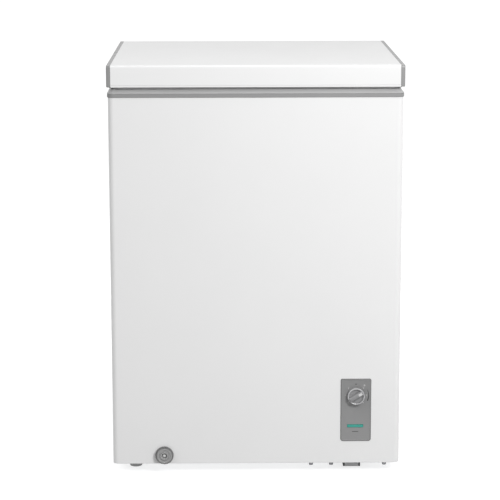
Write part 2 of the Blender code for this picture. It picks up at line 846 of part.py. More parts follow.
def add_hinge(side, x):
    """A sprung hinge: a bracket with two ears on the cabinet's back, a pin, and an arm on the lid."""
    wall = BACK + GAP
    pivot = (x, PIVOT_Y, PIVOT_Z)
    low, shoulder = 0.735, 0.7835
    ear = [
        (wall, low),
        (wall, shoulder),
        (wall + 0.0028, shoulder + 0.0025),
        *arc((PIVOT_Y, PIVOT_Z), EAR_RADIUS, 200, -20, 10),
        (PIVOT_Y + 0.008, PIVOT_Z - 0.012),
        (wall + 0.006, low),
    ]
    web_thick = 0.0025
    base = box(
        f"hinge_base_{side}",
        (x - EAR_OUTER, wall, low),
        (x + EAR_OUTER, wall + web_thick, shoulder),
        "zinc_steel",
    )
    ears = [
        extruded(f"ear_{side}_{n}", ear, "X", x + low_x, x + high_x, "zinc_steel")
        for n, (low_x, high_x) in enumerate(((-EAR_OUTER, -EAR_INNER), (EAR_INNER, EAR_OUTER)))
    ]
    bore = [(PIN_RADIUS + GAP, x - 0.03), (PIN_RADIUS + GAP, x + 0.03)]
    join(base, *ears)
    cut(base, turned(f"base_bore_{side}", bore, (PIVOT_Y, PIVOT_Z), "X", "foam", segments=20))

    leaf_y, leaf_thick = LID_BACK + GAP, 0.0022
    barrel = 0.0070
    arm_outline = [
        (leaf_y, HEIGHT - 0.006),
        (leaf_y, PIVOT_Z + 0.004),
        *arc((PIVOT_Y, PIVOT_Z), barrel, 165, 360, 10),
        (PIVOT_Y + barrel * 0.7, PIVOT_Z + barrel * 0.75),
        (leaf_y + leaf_thick, PIVOT_Z + 0.014),
        (leaf_y + leaf_thick, HEIGHT - 0.006),
    ]
    arm_half = 0.0060
    arm = extruded(
        f"hinge_arm_{side}", arm_outline, "X", x - arm_half, x + arm_half, "zinc_steel", pivot=pivot
    )
    leaf_half = EAR_OUTER
    leaf = box(
        f"leaf_{side}",
        (x - leaf_half, leaf_y, PIVOT_Z + 0.0135),
        (x + leaf_half, leaf_y + leaf_thick, HEIGHT - 0.0065),
        "zinc_steel",
    )
    join(arm, leaf)
    cut(arm, turned(f"arm_bore_{side}", bore, (PIVOT_Y, PIVOT_Z), "X", "foam", segments=20))

    head = 0.0050
    turned(
        f"hinge_pin_{side}",
        [(head, x - EAR_OUTER - 0.002), (head, x - EAR_OUTER - GAP), (PIN_RADIUS, x - EAR_OUTER - GAP)]
        + [(PIN_RADIUS, x + EAR_OUTER + 0.002)],
        (PIVOT_Y, PIVOT_Z),
        "X",
        "zinc_steel",
        segments=16,
    )
    turns, per_turn, wire = 4, 10, 0.0008
    start, length, coil_radius = x + arm_half + 0.0012, 0.0085, 0.0048
    helix = [
        (
            start + length * i / (turns * per_turn),
            PIVOT_Y + coil_radius * cos(tau * i / per_turn),
            PIVOT_Z + coil_radius * sin(tau * i / per_turn),
        )
        for i in range(turns * per_turn + 1)
    ]
    tube(f"hinge_spring_{side}", helix, wire, "zinc_steel", 0)

    cover_half, cover_thick = EAR_OUTER + 0.003, 0.0013
    cover = channel(x - cover_half, x + cover_half, REAR_MOST, wall, 0.004, cover_thick)
    extruded(f"hinge_cover_{side}", cover, "Z", low - 0.003, shoulder + 0.0005, "white_plastic")


def add_basket():
    """The hanging basket as a thin box, with a flange front and rear that rests on the collar's ledge."""
    left, right = BASKET_LEFT, BASKET_LEFT + BASKET_WIDTH
    rim, floor = LEDGE - 0.0002, LEDGE - BASKET_DEPTH
    taper = 0.010

    def loop(inset, z):
        rect = (left + inset, right - inset, BASKET_FRONT + inset, BASKET_BACK - inset)
        return flat_loop(rect, z, 0.015)

    basket = loft(
        "basket",
        [
            loop(taper, floor),
            loop(0, rim),
            loop(BASKET_WALL, rim),
            loop(taper + BASKET_WALL, floor + BASKET_WALL),
        ],
        "white_wire",
    )
    hook_low, hook_high = LEDGE + GAP, LEDGE + 0.0035
    reach = 0.016
    hooks = [
        ("hook_front", BASKET_FRONT - reach, BASKET_FRONT + BASKET_WALL / 2),
        ("hook_back", BASKET_BACK - BASKET_WALL / 2, BASKET_BACK + reach),
    ]
    for name, y0, y1 in hooks:
        hook = box(name, (left + 0.025, y0, hook_low), (right - 0.025, y1, hook_high), "white_wire")
        riser_y = (BASKET_FRONT, BASKET_FRONT + BASKET_WALL) if y0 < 0 else (BASKET_BACK - BASKET_WALL, BASKET_BACK)
        riser = box(
            f"{name}_riser",
            (left + 0.025, riser_y[0] + GAP, rim - 0.010),
            (right - 0.025, riser_y[1] - GAP, hook_high - GAP),
            "white_wire",
        )
        join(basket, hook, riser)


def main():
    clear_scene()
    add_cabinet()
    add_thermostat()
    add_drain()
    add_compressor()
    add_grille()
    add_feet()
    add_lid()
    for side, x in (("left", -HINGE_X), ("right", HINGE_X)):
        add_hinge(side, x)
    add_basket()


main()
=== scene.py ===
"""The chest freezer's looks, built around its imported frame: fine shapes, materials, light and camera."""

import json
from math import cos, pi, radians, sin, tau

import bmesh
import bpy
from mathutils import Matrix, Vector


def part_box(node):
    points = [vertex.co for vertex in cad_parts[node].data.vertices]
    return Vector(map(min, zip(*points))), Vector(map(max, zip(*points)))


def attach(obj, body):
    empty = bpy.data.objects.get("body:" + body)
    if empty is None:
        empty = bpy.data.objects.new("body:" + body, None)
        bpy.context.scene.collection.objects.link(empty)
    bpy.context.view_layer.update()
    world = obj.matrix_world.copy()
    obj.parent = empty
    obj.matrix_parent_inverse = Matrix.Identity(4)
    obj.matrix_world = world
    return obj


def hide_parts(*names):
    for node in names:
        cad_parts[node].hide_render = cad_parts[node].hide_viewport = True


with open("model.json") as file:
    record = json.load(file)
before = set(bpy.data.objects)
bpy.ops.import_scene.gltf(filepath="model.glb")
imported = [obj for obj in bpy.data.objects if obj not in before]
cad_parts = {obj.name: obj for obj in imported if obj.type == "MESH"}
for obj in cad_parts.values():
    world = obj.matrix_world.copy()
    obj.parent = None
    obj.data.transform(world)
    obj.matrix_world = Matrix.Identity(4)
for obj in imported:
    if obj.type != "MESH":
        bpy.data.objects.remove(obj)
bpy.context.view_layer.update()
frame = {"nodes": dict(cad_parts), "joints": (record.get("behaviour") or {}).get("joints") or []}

# The part's own sizes that its boxes don't give, in metres
SHEET = 0.001
GAP = 0.0003
CORNER = 0.012
TUB_CORNER = 0.030
WELL_BEAD = 0.002
STEP_X = 0.055  # side of the step over the compressor bay
STEP_TOP = 0.315
LEDGE_RISE = 0.004  # the basket's ledge, above the collar's bottom edge
LID_EDGE = 0.005
LID_PLUG_MARGIN = 0.006  # between the lid's plug and the tub
SHAFT_HOLE = 0.0045
DRAIN_HOLE = 0.0125
OUTLET_HOLE = 0.010
PANEL_RADII = (0.0045, 0.0025)  # its lower corners, its upper corners
KNOB_POINTS_AT = 58  # degrees clockwise from straight up

SHARP = 38  # degrees between two faces, from which their edge stays sharp
CUT = 0.01  # how far a cutter reaches past the face it cuts

# Places, from the frame
SHELL_LOW, SHELL_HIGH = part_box("outer_shell")
CABINET_HALF = SHELL_HIGH.x
FRONT = SHELL_LOW.y
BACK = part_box("back_panel")[1].y
BASE = SHELL_LOW.z
SHELL_TOP = SHELL_HIGH.z
COLLAR_LOW, COLLAR_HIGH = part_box("collar_frame")
LID_LOW, LID_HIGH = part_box("lid_skin")
LINER_LOW, LINER_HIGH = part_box("inner_liner")
PANEL_LOW, PANEL_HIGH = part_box("control_fascia")
KNOB_LOW, KNOB_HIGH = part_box("thermostat_knob")
DIAL_LOW, DIAL_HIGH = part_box("drain_dial")
PIVOT = Vector(next(j for j in frame["joints"] if j["name"] == "lid_hinge")["pos_m"])


# Materials


def node_of(tree, kind, **values):
    made = tree.nodes.new(kind)
    for name, value in values.items():
        if name in made.inputs:
            made.inputs[name].default_value = value
        else:
            setattr(made, name, value)
    return made


def coordinates(tree, scale=(1, 1, 1)):
    place = node_of(tree, "ShaderNodeTexCoord")
    mapping = node_of(tree, "ShaderNodeMapping", Scale=scale)
    tree.links.new(place.outputs["Object"], mapping.inputs["Vector"])
    return mapping.outputs["Vector"]


def noise_of(tree, vector, scale, detail=2.0, roughness=0.5):
    made = node_of(tree, "ShaderNodeTexNoise", Scale=scale, Detail=detail, Roughness=roughness)
    tree.links.new(vector, made.inputs["Vector"])
    return made.outputs["Fac"]


def ramp_of(tree, factor, low, high, start=0.3, end=0.7):
    """Two colours, or two greys, mixed by a texture."""
    made = node_of(tree, "ShaderNodeValToRGB")
    made.color_ramp.elements[0].position = start
    made.color_ramp.elements[1].position = end
    for element, colour in zip(made.color_ramp.elements, (low, high)):
        if not hasattr(colour, "__len__"):
            colour = (colour, colour, colour)
        element.color = (*colour, 1.0)
    tree.links.new(factor, made.inputs["Fac"])
    return made.outputs["Color"]


def bump_of(tree, height, strength, distance):
    made = node_of(tree, "ShaderNodeBump", Strength=strength, Distance=distance)
    tree.links.new(height, made.inputs["Height"])
    return made.outputs["Normal"]


def new_material(name, **sockets):
    """A material with a Principled shader, whose constant values sit on its own sockets."""
    made = bpy.data.materials.new(name)
    made.use_nodes = True
    tree = made.node_tree
    shader = tree.nodes["Principled BSDF"]
    for socket, value in sockets.items():
        shader.inputs[socket.replace("_", " ")].default_value = value
    return made, tree, shader


def feed(tree, shader, **outputs):
    for socket, output in outputs.items():
        tree.links.new(output, shader.inputs[socket.replace("_", " ")])


def shade(colour, factor):
    return tuple(min(1.0, channel * factor) for channel in colour)


def surface(name, colour, vary, grain, depth, roughness, spread=0.05, patch=6.0, **sockets):
    """A moulded, painted or cast surface: slight colour patches, a fine grain, and uneven gloss."""
    made, tree, shader = new_material(name, **sockets)
    vector = coordinates(tree)
    patches = noise_of(tree, vector, patch, 4.0)
    tint = ramp_of(tree, patches, shade(colour, 1 - vary), shade(colour, 1 + vary))
    gloss = noise_of(tree, vector, patch * 5, 3.0)
    rough = ramp_of(tree, gloss, roughness - spread, roughness + spread)
    fine = noise_of(tree, vector, grain, 2.0)
    feed(tree, shader, Base_Color=tint, Roughness=rough, Normal=bump_of(tree, fine, 1.0, depth))
    return made


def stucco():
    """Aluminium sheet embossed with the small irregular pattern that freezer tubs have."""
    made, tree, shader = new_material("embossed_aluminium", Metallic=0.75)
    vector = coordinates(tree)
    warp = noise_of(tree, vector, 90.0, 2.0)
    cells = node_of(tree, "ShaderNodeTexVoronoi", Scale=210.0, feature="SMOOTH_F1", Smoothness=0.6)
    tree.links.new(vector, cells.inputs["Vector"])
    heights = node_of(tree, "ShaderNodeMath", operation="ADD")
    tree.links.new(cells.outputs["Distance"], heights.inputs[0])
    tree.links.new(warp, heights.inputs[1])
    bumps = bump_of(tree, heights.outputs[0], 0.75, 0.0012)
    patches = noise_of(tree, vector, 5.0, 3.0)
    tint = ramp_of(tree, patches, (0.80, 0.81, 0.82), (0.90, 0.91, 0.92))
    feed(tree, shader, Base_Color=tint, Roughness=ramp_of(tree, patches, 0.34, 0.44), Normal=bumps)
    return made


def galvanised(name, low, high, scale=70.0, roughness=0.42):
    """Zinc-plated steel, with its faint crystal patches."""
    made, tree, shader = new_material(name, Metallic=1.0)
    vector = coordinates(tree)
    crystals = node_of(tree, "ShaderNodeTexVoronoi", Scale=scale)
    tree.links.new(vector, crystals.inputs["Vector"])
    tint = ramp_of(tree, crystals.outputs["Color"], low, high, 0.1, 0.9)
    streaks = noise_of(tree, coordinates(tree, (1, 1, 14)), 60.0, 3.0)
    rough = ramp_of(tree, streaks, roughness - 0.08, roughness + 0.10)
    feed(tree, shader, Base_Color=tint, Roughness=rough, Normal=bump_of(tree, streaks, 0.4, 0.0001))
    return made


def copper():
    made, tree, shader = new_material("copper_tube", Metallic=1.0)
    vector = coordinates(tree)
    stains = noise_of(tree, vector, 40.0, 5.0)
    tint = ramp_of(tree, stains, (0.42, 0.20, 0.11), (0.85, 0.46, 0.30), 0.35, 0.6)
    rough = ramp_of(tree, stains, 0.45, 0.25)
    fine = noise_of(tree, vector, 500.0, 2.0)
    feed(tree, shader, Base_Color=tint, Roughness=rough, Normal=bump_of(tree, fine, 0.5, 0.0001))
    return made


def insulation():
    made, tree, shader = new_material("polyurethane_foam", Roughness=0.95)
    vector = coordinates(tree)
    cells = node_of(tree, "ShaderNodeTexVoronoi", Scale=700.0)
    tree.links.new(vector, cells.inputs["Vector"])
    bumps = bump_of(tree, cells.outputs["Distance"], 0.8, 0.0006)
    tint = ramp_of(tree, noise_of(tree, vector, 30.0, 4.0), (0.72, 0.60, 0.33), (0.86, 0.77, 0.52))
    feed(tree, shader, Base_Color=tint, Normal=bumps)
    return made


WHITE = (0.80, 0.80, 0.80)
# A surface's values: name, colour, its variation, the grain's scale and depth, roughness and its spread
MATERIALS = {
    "paint": surface("white_powder_coat", WHITE, 0.008, 650.0, 0.00005, 0.34, 0.03, Coat_Weight=0.15),
    "back_paint": surface("back_sheet_paint", (0.62, 0.63, 0.64), 0.02, 500.0, 0.00006, 0.45),
    "collar": surface("grey_abs", (0.268, 0.268, 0.268), 0.03, 1500.0, 0.00006, 0.42),
    "cap": surface("grey_abs_cap", (0.278, 0.278, 0.278), 0.015, 1500.0, 0.00002, 0.30, 0.02),
    # the end caps' tops: the same grey plastic made lighter, as painted light from above
    "cap_top_painted_highlight": surface("grey_abs_cap_top", (0.35, 0.35, 0.35), 0.015, 1500.0, 0.00002, 0.28, 0.02),
    "panel": surface("grey_panel", (0.252, 0.252, 0.253), 0.02, 2200.0, 0.00005, 0.46),
    "knob": surface("grey_knob_plastic", (0.27, 0.27, 0.275), 0.03, 2600.0, 0.00003, 0.30),
    "drain": surface("grey_drain_plastic", (0.34, 0.34, 0.34), 0.05, 1800.0, 0.00006, 0.42),
    "dark": surface("dark_grey_plastic", (0.07, 0.07, 0.07), 0.08, 1400.0, 0.00008, 0.5),
    # the collar's upward-facing slope: the same grey plastic made lighter, as painted light from above
    "slope": surface("grey_abs_slope_painted_highlight", (0.44, 0.44, 0.44), 0.03, 1500.0, 0.00006, 0.34),
    # the drain dial's side wall: the same grey plastic made darker, as painted shade
    "rim": surface("grey_drain_rim_painted_shade", (0.15, 0.15, 0.15), 0.05, 1800.0, 0.00006, 0.46),
    "glide": surface("light_grey_plastic", (0.42, 0.42, 0.42), 0.05, 1400.0, 0.00008, 0.42),
    "pad": surface("grey_pad_plastic", (0.50, 0.50, 0.50), 0.06, 1400.0, 0.00008, 0.5),
    "black": surface("black_plastic", (0.018, 0.018, 0.019), 0.10, 1500.0, 0.00006, 0.42),
    "print": surface("dark_print", (0.035, 0.035, 0.037), 0.10, 3000.0, 0.00001, 0.5),
    "light_print": surface("light_print", (0.62, 0.62, 0.62), 0.04, 3000.0, 0.00001, 0.5),
    "pointer": surface("pointer_white", (0.60, 0.60, 0.60), 0.03, 3000.0, 0.00002, 0.35),
    "hips": surface("white_moulded_panel", (0.77, 0.77, 0.77), 0.006, 900.0, 0.00004, 0.44, 0.01),
    "moulding": surface("white_moulding", (0.74, 0.74, 0.73), 0.02, 1500.0, 0.00007, 0.42),
    "gasket": surface("grey_gasket", (0.33, 0.33, 0.335), 0.06, 900.0, 0.00008, 0.62),
    "rubber": surface("black_rubber", (0.022, 0.022, 0.022), 0.15, 900.0, 0.00012, 0.78),
    "enamel": surface("black_enamel", (0.012, 0.012, 0.013), 0.20, 260.0, 0.00012, 0.30, Coat_Weight=0.2),
    "wire": surface("white_coated_wire", (0.80, 0.80, 0.79), 0.02, 700.0, 0.00004, 0.32, Coat_Weight=0.25),
    "grille": surface("grille_paint", (0.56, 0.57, 0.58), 0.03, 600.0, 0.00007, 0.44),
    # the knob's rim ring: a lighter, part-metallic grey, a painted highlight on the grey plastic rim
    "rim_highlight": surface("knob_silver", (0.50, 0.50, 0.51), 0.03, 2600.0, 0.00003, 0.28, Metallic=0.35),
    "steel": galvanised("zinc_plate", (0.46, 0.48, 0.50), (0.62, 0.63, 0.64)),
    "bolt": galvanised("blackened_bolt", (0.17, 0.17, 0.18), (0.26, 0.26, 0.27), 300.0, 0.40),
    "spring": galvanised("spring_steel", (0.30, 0.30, 0.31), (0.42, 0.42, 0.43), 300.0, 0.34),
    "stucco": stucco(),
    "copper": copper(),
    "foam": insulation(),
    "teal": surface(
        "teal_window", (0.004, 0.25, 0.20), 0.04, 900.0, 0.00002, 0.16, Coat_Weight=0.4,
        Emission_Color=(0.0, 0.55, 0.42, 1.0), Emission_Strength=0.06,
    ),
}


# Shapes


def linked(made):
    bpy.context.scene.collection.objects.link(made)
    return made


def centre_of(low, high, axis):
    """The middle of a box, in the plane across the axis."""
    across = {"Y": "xz", "Z": "xy"}[axis]
    return tuple((getattr(low, name) + getattr(high, name)) / 2 for name in across)


def finish_mesh(name, bm, material):
    bmesh.ops.recalc_face_normals(bm, faces=bm.faces)
    mesh = bpy.data.meshes.new(name)
    bm.to_mesh(mesh)
    bm.free()
    mesh.shade_smooth()
    mesh.set_sharp_from_angle(angle=radians(SHARP))
    mesh.materials.append(MATERIALS[material])
    return linked(bpy.data.objects.new(name, mesh))


def skin(bm, loops, closed=False):
    """A skin through loops of equally many points, capped at both ends or joined end to end."""
    rows = [[bm.verts.new(point) for point in loop] for loop in loops]
    pairs = list(zip(rows, rows[1:] + rows[:1]))
    for row, following in pairs if closed else pairs[:-1]:
        for i in range(len(row)):
            j = (i + 1) % len(row)
            bm.faces.new((row[i], row[j], following[j], following[i]))
    if not closed:
        bm.faces.new(rows[0])
        bm.faces.new(rows[-1])


def loft(name, loops, material, closed=False):
    bm = bmesh.new()
    skin(bm, loops, closed)
    return finish_mesh(name, bm, material)


def placed(a, b, across, axis):
    if axis == "X":
        return (across, a, b)
    return (a, across, b) if axis == "Y" else (a, b, across)


def extruded(name, outline, axis, stops, material):
    return loft(name, [[placed(a, b, across, axis) for a, b in outline] for across in stops], material)


def arc(centre, radius, start, end, steps):
    angles = [radians(start + (end - start) * i / steps) for i in range(steps + 1)]
    return [(centre[0] + radius * cos(a), centre[1] + radius * sin(a)) for a in angles]


def rounded(a0, a1, b0, b1, radius, top_radius=None, steps=10):
    """A rectangle's outline with round corners, and its own radius at the b1 side where given."""
    upper = radius if top_radius is None else top_radius
    corners = (
        ((a0 + radius, b0 + radius), radius, 180),
        ((a1 - radius, b0 + radius), radius, 270),
        ((a1 - upper, b1 - upper), upper, 0),
        ((a0 + upper, b1 - upper), upper, 90),
    )
    return [p for centre, r, start in corners for p in arc(centre, r, start, start + 90, steps)]


def box_loops(low, high, axis, radius, edge, steps=4):
    """A block with round corners across the axis and softened ends."""
    order = {"X": (1, 2, 0), "Y": (0, 2, 1), "Z": (0, 1, 2)}[axis]
    a, b, c = order
    loops = []
    for inset, across in ((edge, low[c]), (0, low[c] + edge), (0, high[c] - edge), (edge, high[c])):
        flat = rounded(low[a] + inset, high[a] - inset, low[b] + inset, high[b] - inset, radius, steps=steps)
        loops.append([placed(p, q, across, axis) for p, q in flat])
    return loops


def block(name, low, high, axis, radius, edge, material):
    return loft(name, box_loops(low, high, axis, radius, edge), material)


def ring(radius, across, centre, axis, segments, flutes=0, depth=0.0):
    """A circle across the axis, drawn in between its flutes where it has them."""
    points = []
    for i in range(segments):
        angle = tau * i / segments
        r = radius - depth * (0.5 - 0.5 * cos(flutes * angle)) ** 2
        points.append(placed(centre[0] + r * cos(angle), centre[1] + r * sin(angle), across, axis))
    return points


def turned(name, profile, centre, axis, material, segments=64, closed=False):
    """A profile of radius and height, turned about the axis."""
    loops = [ring(radius, across, centre, axis, segments) for radius, across in profile]
    return loft(name, loops, material, closed)


def bore(name, radius, centre, axis, start, end):
    """A round cutter."""
    return turned(name, [(radius, start), (radius, end)], centre, axis, "print")


def wires(name, routes, radius, material, cyclic=False):
    """Round wires along routes, as one piece."""
    curve = bpy.data.curves.new(name, "CURVE")
    curve.dimensions = "3D"
    curve.bevel_depth = radius
    curve.bevel_resolution = 4
    curve.use_fill_caps = not cyclic
    for route in routes:
        spline = curve.splines.new("POLY")
        spline.points.add(len(route) - 1)
        spline.use_cyclic_u = cyclic
        for point, place in zip(spline.points, route):
            point.co = (*place, 1.0)
    curve.materials.append(MATERIALS[material])
    return as_mesh(linked(bpy.data.objects.new(name, curve)))


def as_mesh(obj):
    """The object with its curves or modifiers made into a plain mesh."""
    bpy.context.view_layer.update()
    graph = bpy.context.evaluated_depsgraph_get()
    mesh = bpy.data.meshes.new_from_object(obj.evaluated_get(graph))
    name = obj.name
    materials = [slot.material for slot in obj.material_slots]
    bpy.data.objects.remove(obj)
    mesh.materials.clear()
    for material in materials:
        mesh.materials.append(material)
    mesh.shade_smooth()
    mesh.set_sharp_from_angle(angle=radians(SHARP))
    return linked(bpy.data.objects.new(name, mesh))


def carved(target, *cutters):
    """The target with the cutters' shapes taken out of it."""
    for cutter in cutters:
        modifier = target.modifiers.new(cutter.name, "BOOLEAN")
        modifier.object = cutter
        modifier.operation = "DIFFERENCE"
    made = as_mesh(target)
    for cutter in cutters:
        bpy.data.objects.remove(cutter)
    return made


def filleted(points, radius, steps=6):
    """The polyline with each inner corner turned into an arc."""
    route = [Vector(points[0])]
    for before, corner, after in zip(points, points[1:], points[2:]):
        here = Vector(corner)
        back = (Vector(before) - here).normalized()
        on = (Vector(after) - here).normalized()
        half = back.angle(on) / 2
        centre = here + (back + on).normalized() * (radius / sin(half))
        start = here + back * (radius * cos(half) / sin(half)) - centre
        end = here + on * (radius * cos(half) / sin(half)) - centre
        route += [centre + start.lerp(end, i / steps).normalized() * radius for i in range(steps + 1)]
    return [*route, Vector(points[-1])]


def two_tone(piece, material, chosen):
    """Gives the chosen faces a second material."""
    piece.data.materials.append(MATERIALS[material])
    for face in piece.data.polygons:
        if chosen(face):
            face.material_index = 1


def fit(piece, body, slot, *nodes):
    """The piece rides on the body and stands for the nodes; the slot is not used."""
    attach(piece, body)
    if nodes:
        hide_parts(*nodes)
    return piece


# Cabinet


def channel(a0, a1, shut, mouth, radius, sheet=SHEET, shrink=0.0, steps=12):
    """A sheet bent into a U across a0 to a1, with round corners at its shut side."""
    way = 1 if mouth > shut else -1

    def turned_up(edge, corner):
        left = arc((a0 + edge + corner, shut + way * (edge + corner)), corner, 180, 180 + 90 * way, steps)
        right = arc((a1 - edge - corner, shut + way * (edge + corner)), corner, -90 * way, 0, steps)
        return [(a0 + edge, mouth), *left, *right, (a1 - edge, mouth)]

    return turned_up(shrink, radius - shrink) + turned_up(sheet, radius - sheet)[::-1]


def cutter_box(name, low, high):
    return block(name, low, high, "Y", 0.0006, 0.0001, "print")


def add_cabinet():
    mouth = SHELL_HIGH.y
    edge = 0.0005
    levels = ((BASE, edge), (BASE + edge, 0.0), (SHELL_TOP, 0.0))
    loops = []
    for z, shrink in levels:
        outline = channel(-CABINET_HALF, CABINET_HALF, FRONT, mouth, CORNER, shrink=shrink)
        loops.append([(x, y, z) for x, y in outline])
    wrap = loft("cabinet_wrap", loops, "paint")
    cover = 0.0035  # how far the panel laps over its opening
    hole = cutter_box(
        "panel_opening",
        (PANEL_LOW.x + cover, FRONT - CUT, PANEL_LOW.z + cover),
        (PANEL_HIGH.x - cover, FRONT + CUT, PANEL_HIGH.z - cover),
    )
    centre = centre_of(DIAL_LOW, DIAL_HIGH, "Y")
    round_hole = bore("drain_opening", DRAIN_HOLE, centre, "Y", FRONT - CUT, FRONT + CUT)
    fit(carved(wrap, hole, round_hole), "cabinet", "white_paint", "outer_shell")


def cabinet_loop(inset, z, radius, steps=12):
    side = CABINET_HALF - inset
    flat = rounded(-side, side, FRONT + inset, BACK - inset, radius, steps=steps)
    return [(x, y, z) for x, y in flat]


def add_collar():
    """The moulded frame round the tub's mouth: an upright face, a slope, the gasket's seat, and a ledge."""
    wall = CABINET_HALF - (LINER_HIGH.x - SHEET)
    proud = COLLAR_HIGH.x - CABINET_HALF
    bottom, top = COLLAR_LOW.z, COLLAR_HIGH.z
    edge, ledge, thick, inner, soft = bottom + 0.008, bottom + LEDGE_RISE, 0.002, 0.040, 0.0006
    slope, groove = top - edge, 0.0006
    lip = wall + 0.0005
    section = [
        (-proud + soft, bottom),
        (-proud, bottom + soft),
        (-proud, edge - groove * 1.6),
        (-proud + groove, edge - groove * 1.4),
        (-proud + groove, edge - groove * 0.2),
        (-proud, edge),
        (slope - proud - soft * 0.6, top - soft * 0.6),
        (slope - proud + soft, top),
        (inner - soft, top),
        (inner, top - soft),
        (inner, ledge + soft),
        (inner + soft, ledge),
        (lip - soft, ledge),
        (lip, ledge - soft),
        (lip, bottom),
        (lip - thick, bottom),
        (lip - thick, ledge - thick),
        (inner - thick, ledge - thick),
        (inner - thick, top - thick),
        (slope - proud + thick / 2, top - thick),
        (thick - proud, edge - thick / 2),
        (thick - proud, bottom),
    ]
    loops = []
    for inset, z in section:
        radius = CORNER - inset if inset < inner / 2 else TUB_CORNER + wall - inset
        loops.append(cabinet_loop(inset, z, radius))
    frame_piece = loft("mouth_collar", loops, "collar", closed=True)
    # painted light: the upward-facing slope faces get a lighter grey than the rest of the collar
    two_tone(frame_piece, "slope", lambda face: 0.3 < face.normal.z < 0.95 and face.center.z > edge)
    fit(frame_piece, "cabinet", "grey_abs", "collar_frame")


def tub_rect(grow):
    return (
        LINER_LOW.x + SHEET - grow,
        LINER_HIGH.x - SHEET + grow,
        LINER_LOW.y + SHEET - grow,
        LINER_HIGH.y - SHEET + grow,
    )


def well_rect(grow):
    x0, _, y0, y1 = tub_rect(grow - WELL_BEAD)
    return x0, STEP_X + grow, y0, y1


def flat_loop(rect, z, radius=TUB_CORNER, steps=10):
    return [(x, y, z) for x, y in rounded(*rect, radius, steps=steps)]


def add_tub():
    """The embossed aluminium tub, with the step over the compressor bay and coved floor edges."""
    floor, top = LINER_LOW.z + SHEET, LINER_HIGH.z
    cove, soft = 0.008, 0.0014
    loops = [
        flat_loop(well_rect(SHEET - cove), floor - SHEET),
        flat_loop(well_rect(SHEET - cove * 0.3), floor - SHEET + cove * 0.3),
        flat_loop(well_rect(SHEET), floor - SHEET + cove),
        flat_loop(well_rect(SHEET), STEP_TOP - SHEET),
        flat_loop(tub_rect(SHEET), STEP_TOP - SHEET),
        flat_loop(tub_rect(SHEET), top),
        flat_loop(tub_rect(0), top),
        flat_loop(tub_rect(0), STEP_TOP),
        flat_loop(well_rect(soft), STEP_TOP),
        flat_loop(well_rect(soft * 0.3), STEP_TOP - soft * 0.3),
        flat_loop(well_rect(0), STEP_TOP - soft),
        flat_loop(well_rect(0), floor + cove),
        flat_loop(well_rect(-cove * 0.3), floor + cove * 0.3),
        flat_loop(well_rect(-cove), floor),
    ]
    tub = loft("tub_liner", loops, "stucco")
    low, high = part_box("drain_plug")
    outlet = bore("tub_outlet", OUTLET_HOLE, centre_of(low, high, "Z"), "Z", floor - CUT, floor + CUT)
    fit(carved(tub, outlet), "cabinet", "stucco_aluminium", "inner_liner")


def add_back():
    """Pressed beads and screws on the back sheet."""
    face = BACK
    bead_top, bead_low, wide, proud = SHELL_TOP - 0.090, 0.300, 0.014, 0.0012
    half, slope = wide / 2, 0.004
    for number, x in enumerate((-0.215, -0.075, 0.065, 0.205), start=1):
        outline = rounded(x - half, x + half, bead_low, bead_top, half - 0.0002, steps=8)
        inner = rounded(
            x - half + slope, x + half - slope, bead_low + slope, bead_top - slope, 0.0028, steps=8
        )
        loops = [
            [(a, face - 0.0004, b) for a, b in outline],
            [(a, face + 0.0001, b) for a, b in outline],
            [(a, face + proud, b) for a, b in inner],
        ]
        fit(loft(f"back_bead_{number}", loops, "back_paint"), "cabinet", "white_paint_back")
    edge = 0.012
    places = [(side * (CABINET_HALF - edge), face, z) for side in (-1, 1) for z in (0.34, 0.50, 0.66, 0.765)]
    places += [(-CABINET_HALF + edge, face, z) for z in (0.045, 0.18)]
    places += [(x, face, 0.765) for x in (-0.10, 0.0, 0.10)]
    screws("back_screws", places, (0, 1, 0), 0.0036, "cabinet")


# Screws


def screw_template(radius):
    """A pan head with a cross recess, standing on z = 0."""
    tall = radius * 0.62
    profile = [
        (radius * 0.98, -0.0003),
        (radius, tall * 0.30),
        (radius * 0.90, tall * 0.70),
        (radius * 0.66, tall * 0.93),
        (radius * 0.30, tall),
    ]
    head = turned("screw_head", profile, (0, 0), "Z", "steel", segments=28)
    arm, wide = radius * 0.62, radius * 0.15
    cutters = [
        block(f"cross_{n}", (-a, -b, tall * 0.35), (a, b, tall * 2), "Z", wide * 0.3, wide * 0.1, "print")
        for n, (a, b) in enumerate(((arm, wide), (wide, arm)))
    ]
    return carved(head, *cutters)


def screws(name, places, normal, radius, body, slot="zinc_steel", material="steel"):
    """Pan-head screws at the places, as one piece."""
    template = screw_template(radius)
    turn = Vector((0, 0, 1)).rotation_difference(Vector(normal)).to_matrix().to_4x4()
    bm = bmesh.new()
    for number, place in enumerate(places):
        copy = template.data.copy()
        spin = Matrix.Rotation(radians(37 * number), 4, "Z")
        copy.transform(Matrix.Translation(Vector(place)) @ turn @ spin)
        bm.from_mesh(copy)
        bpy.data.meshes.remove(copy)
    bpy.data.objects.remove(template)
    return fit(finish_mesh(name, bm, material), body, slot)


# Lid


def lid_rect(inset, steps=8):
    low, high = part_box("lid_end_cap_left")
    return rounded(
        low.y + inset, high.y - inset, low.z + inset, high.z - inset, max(0.0015 - inset, 0.0004),
        LID_EDGE - inset * 0.5, steps=steps,
    )


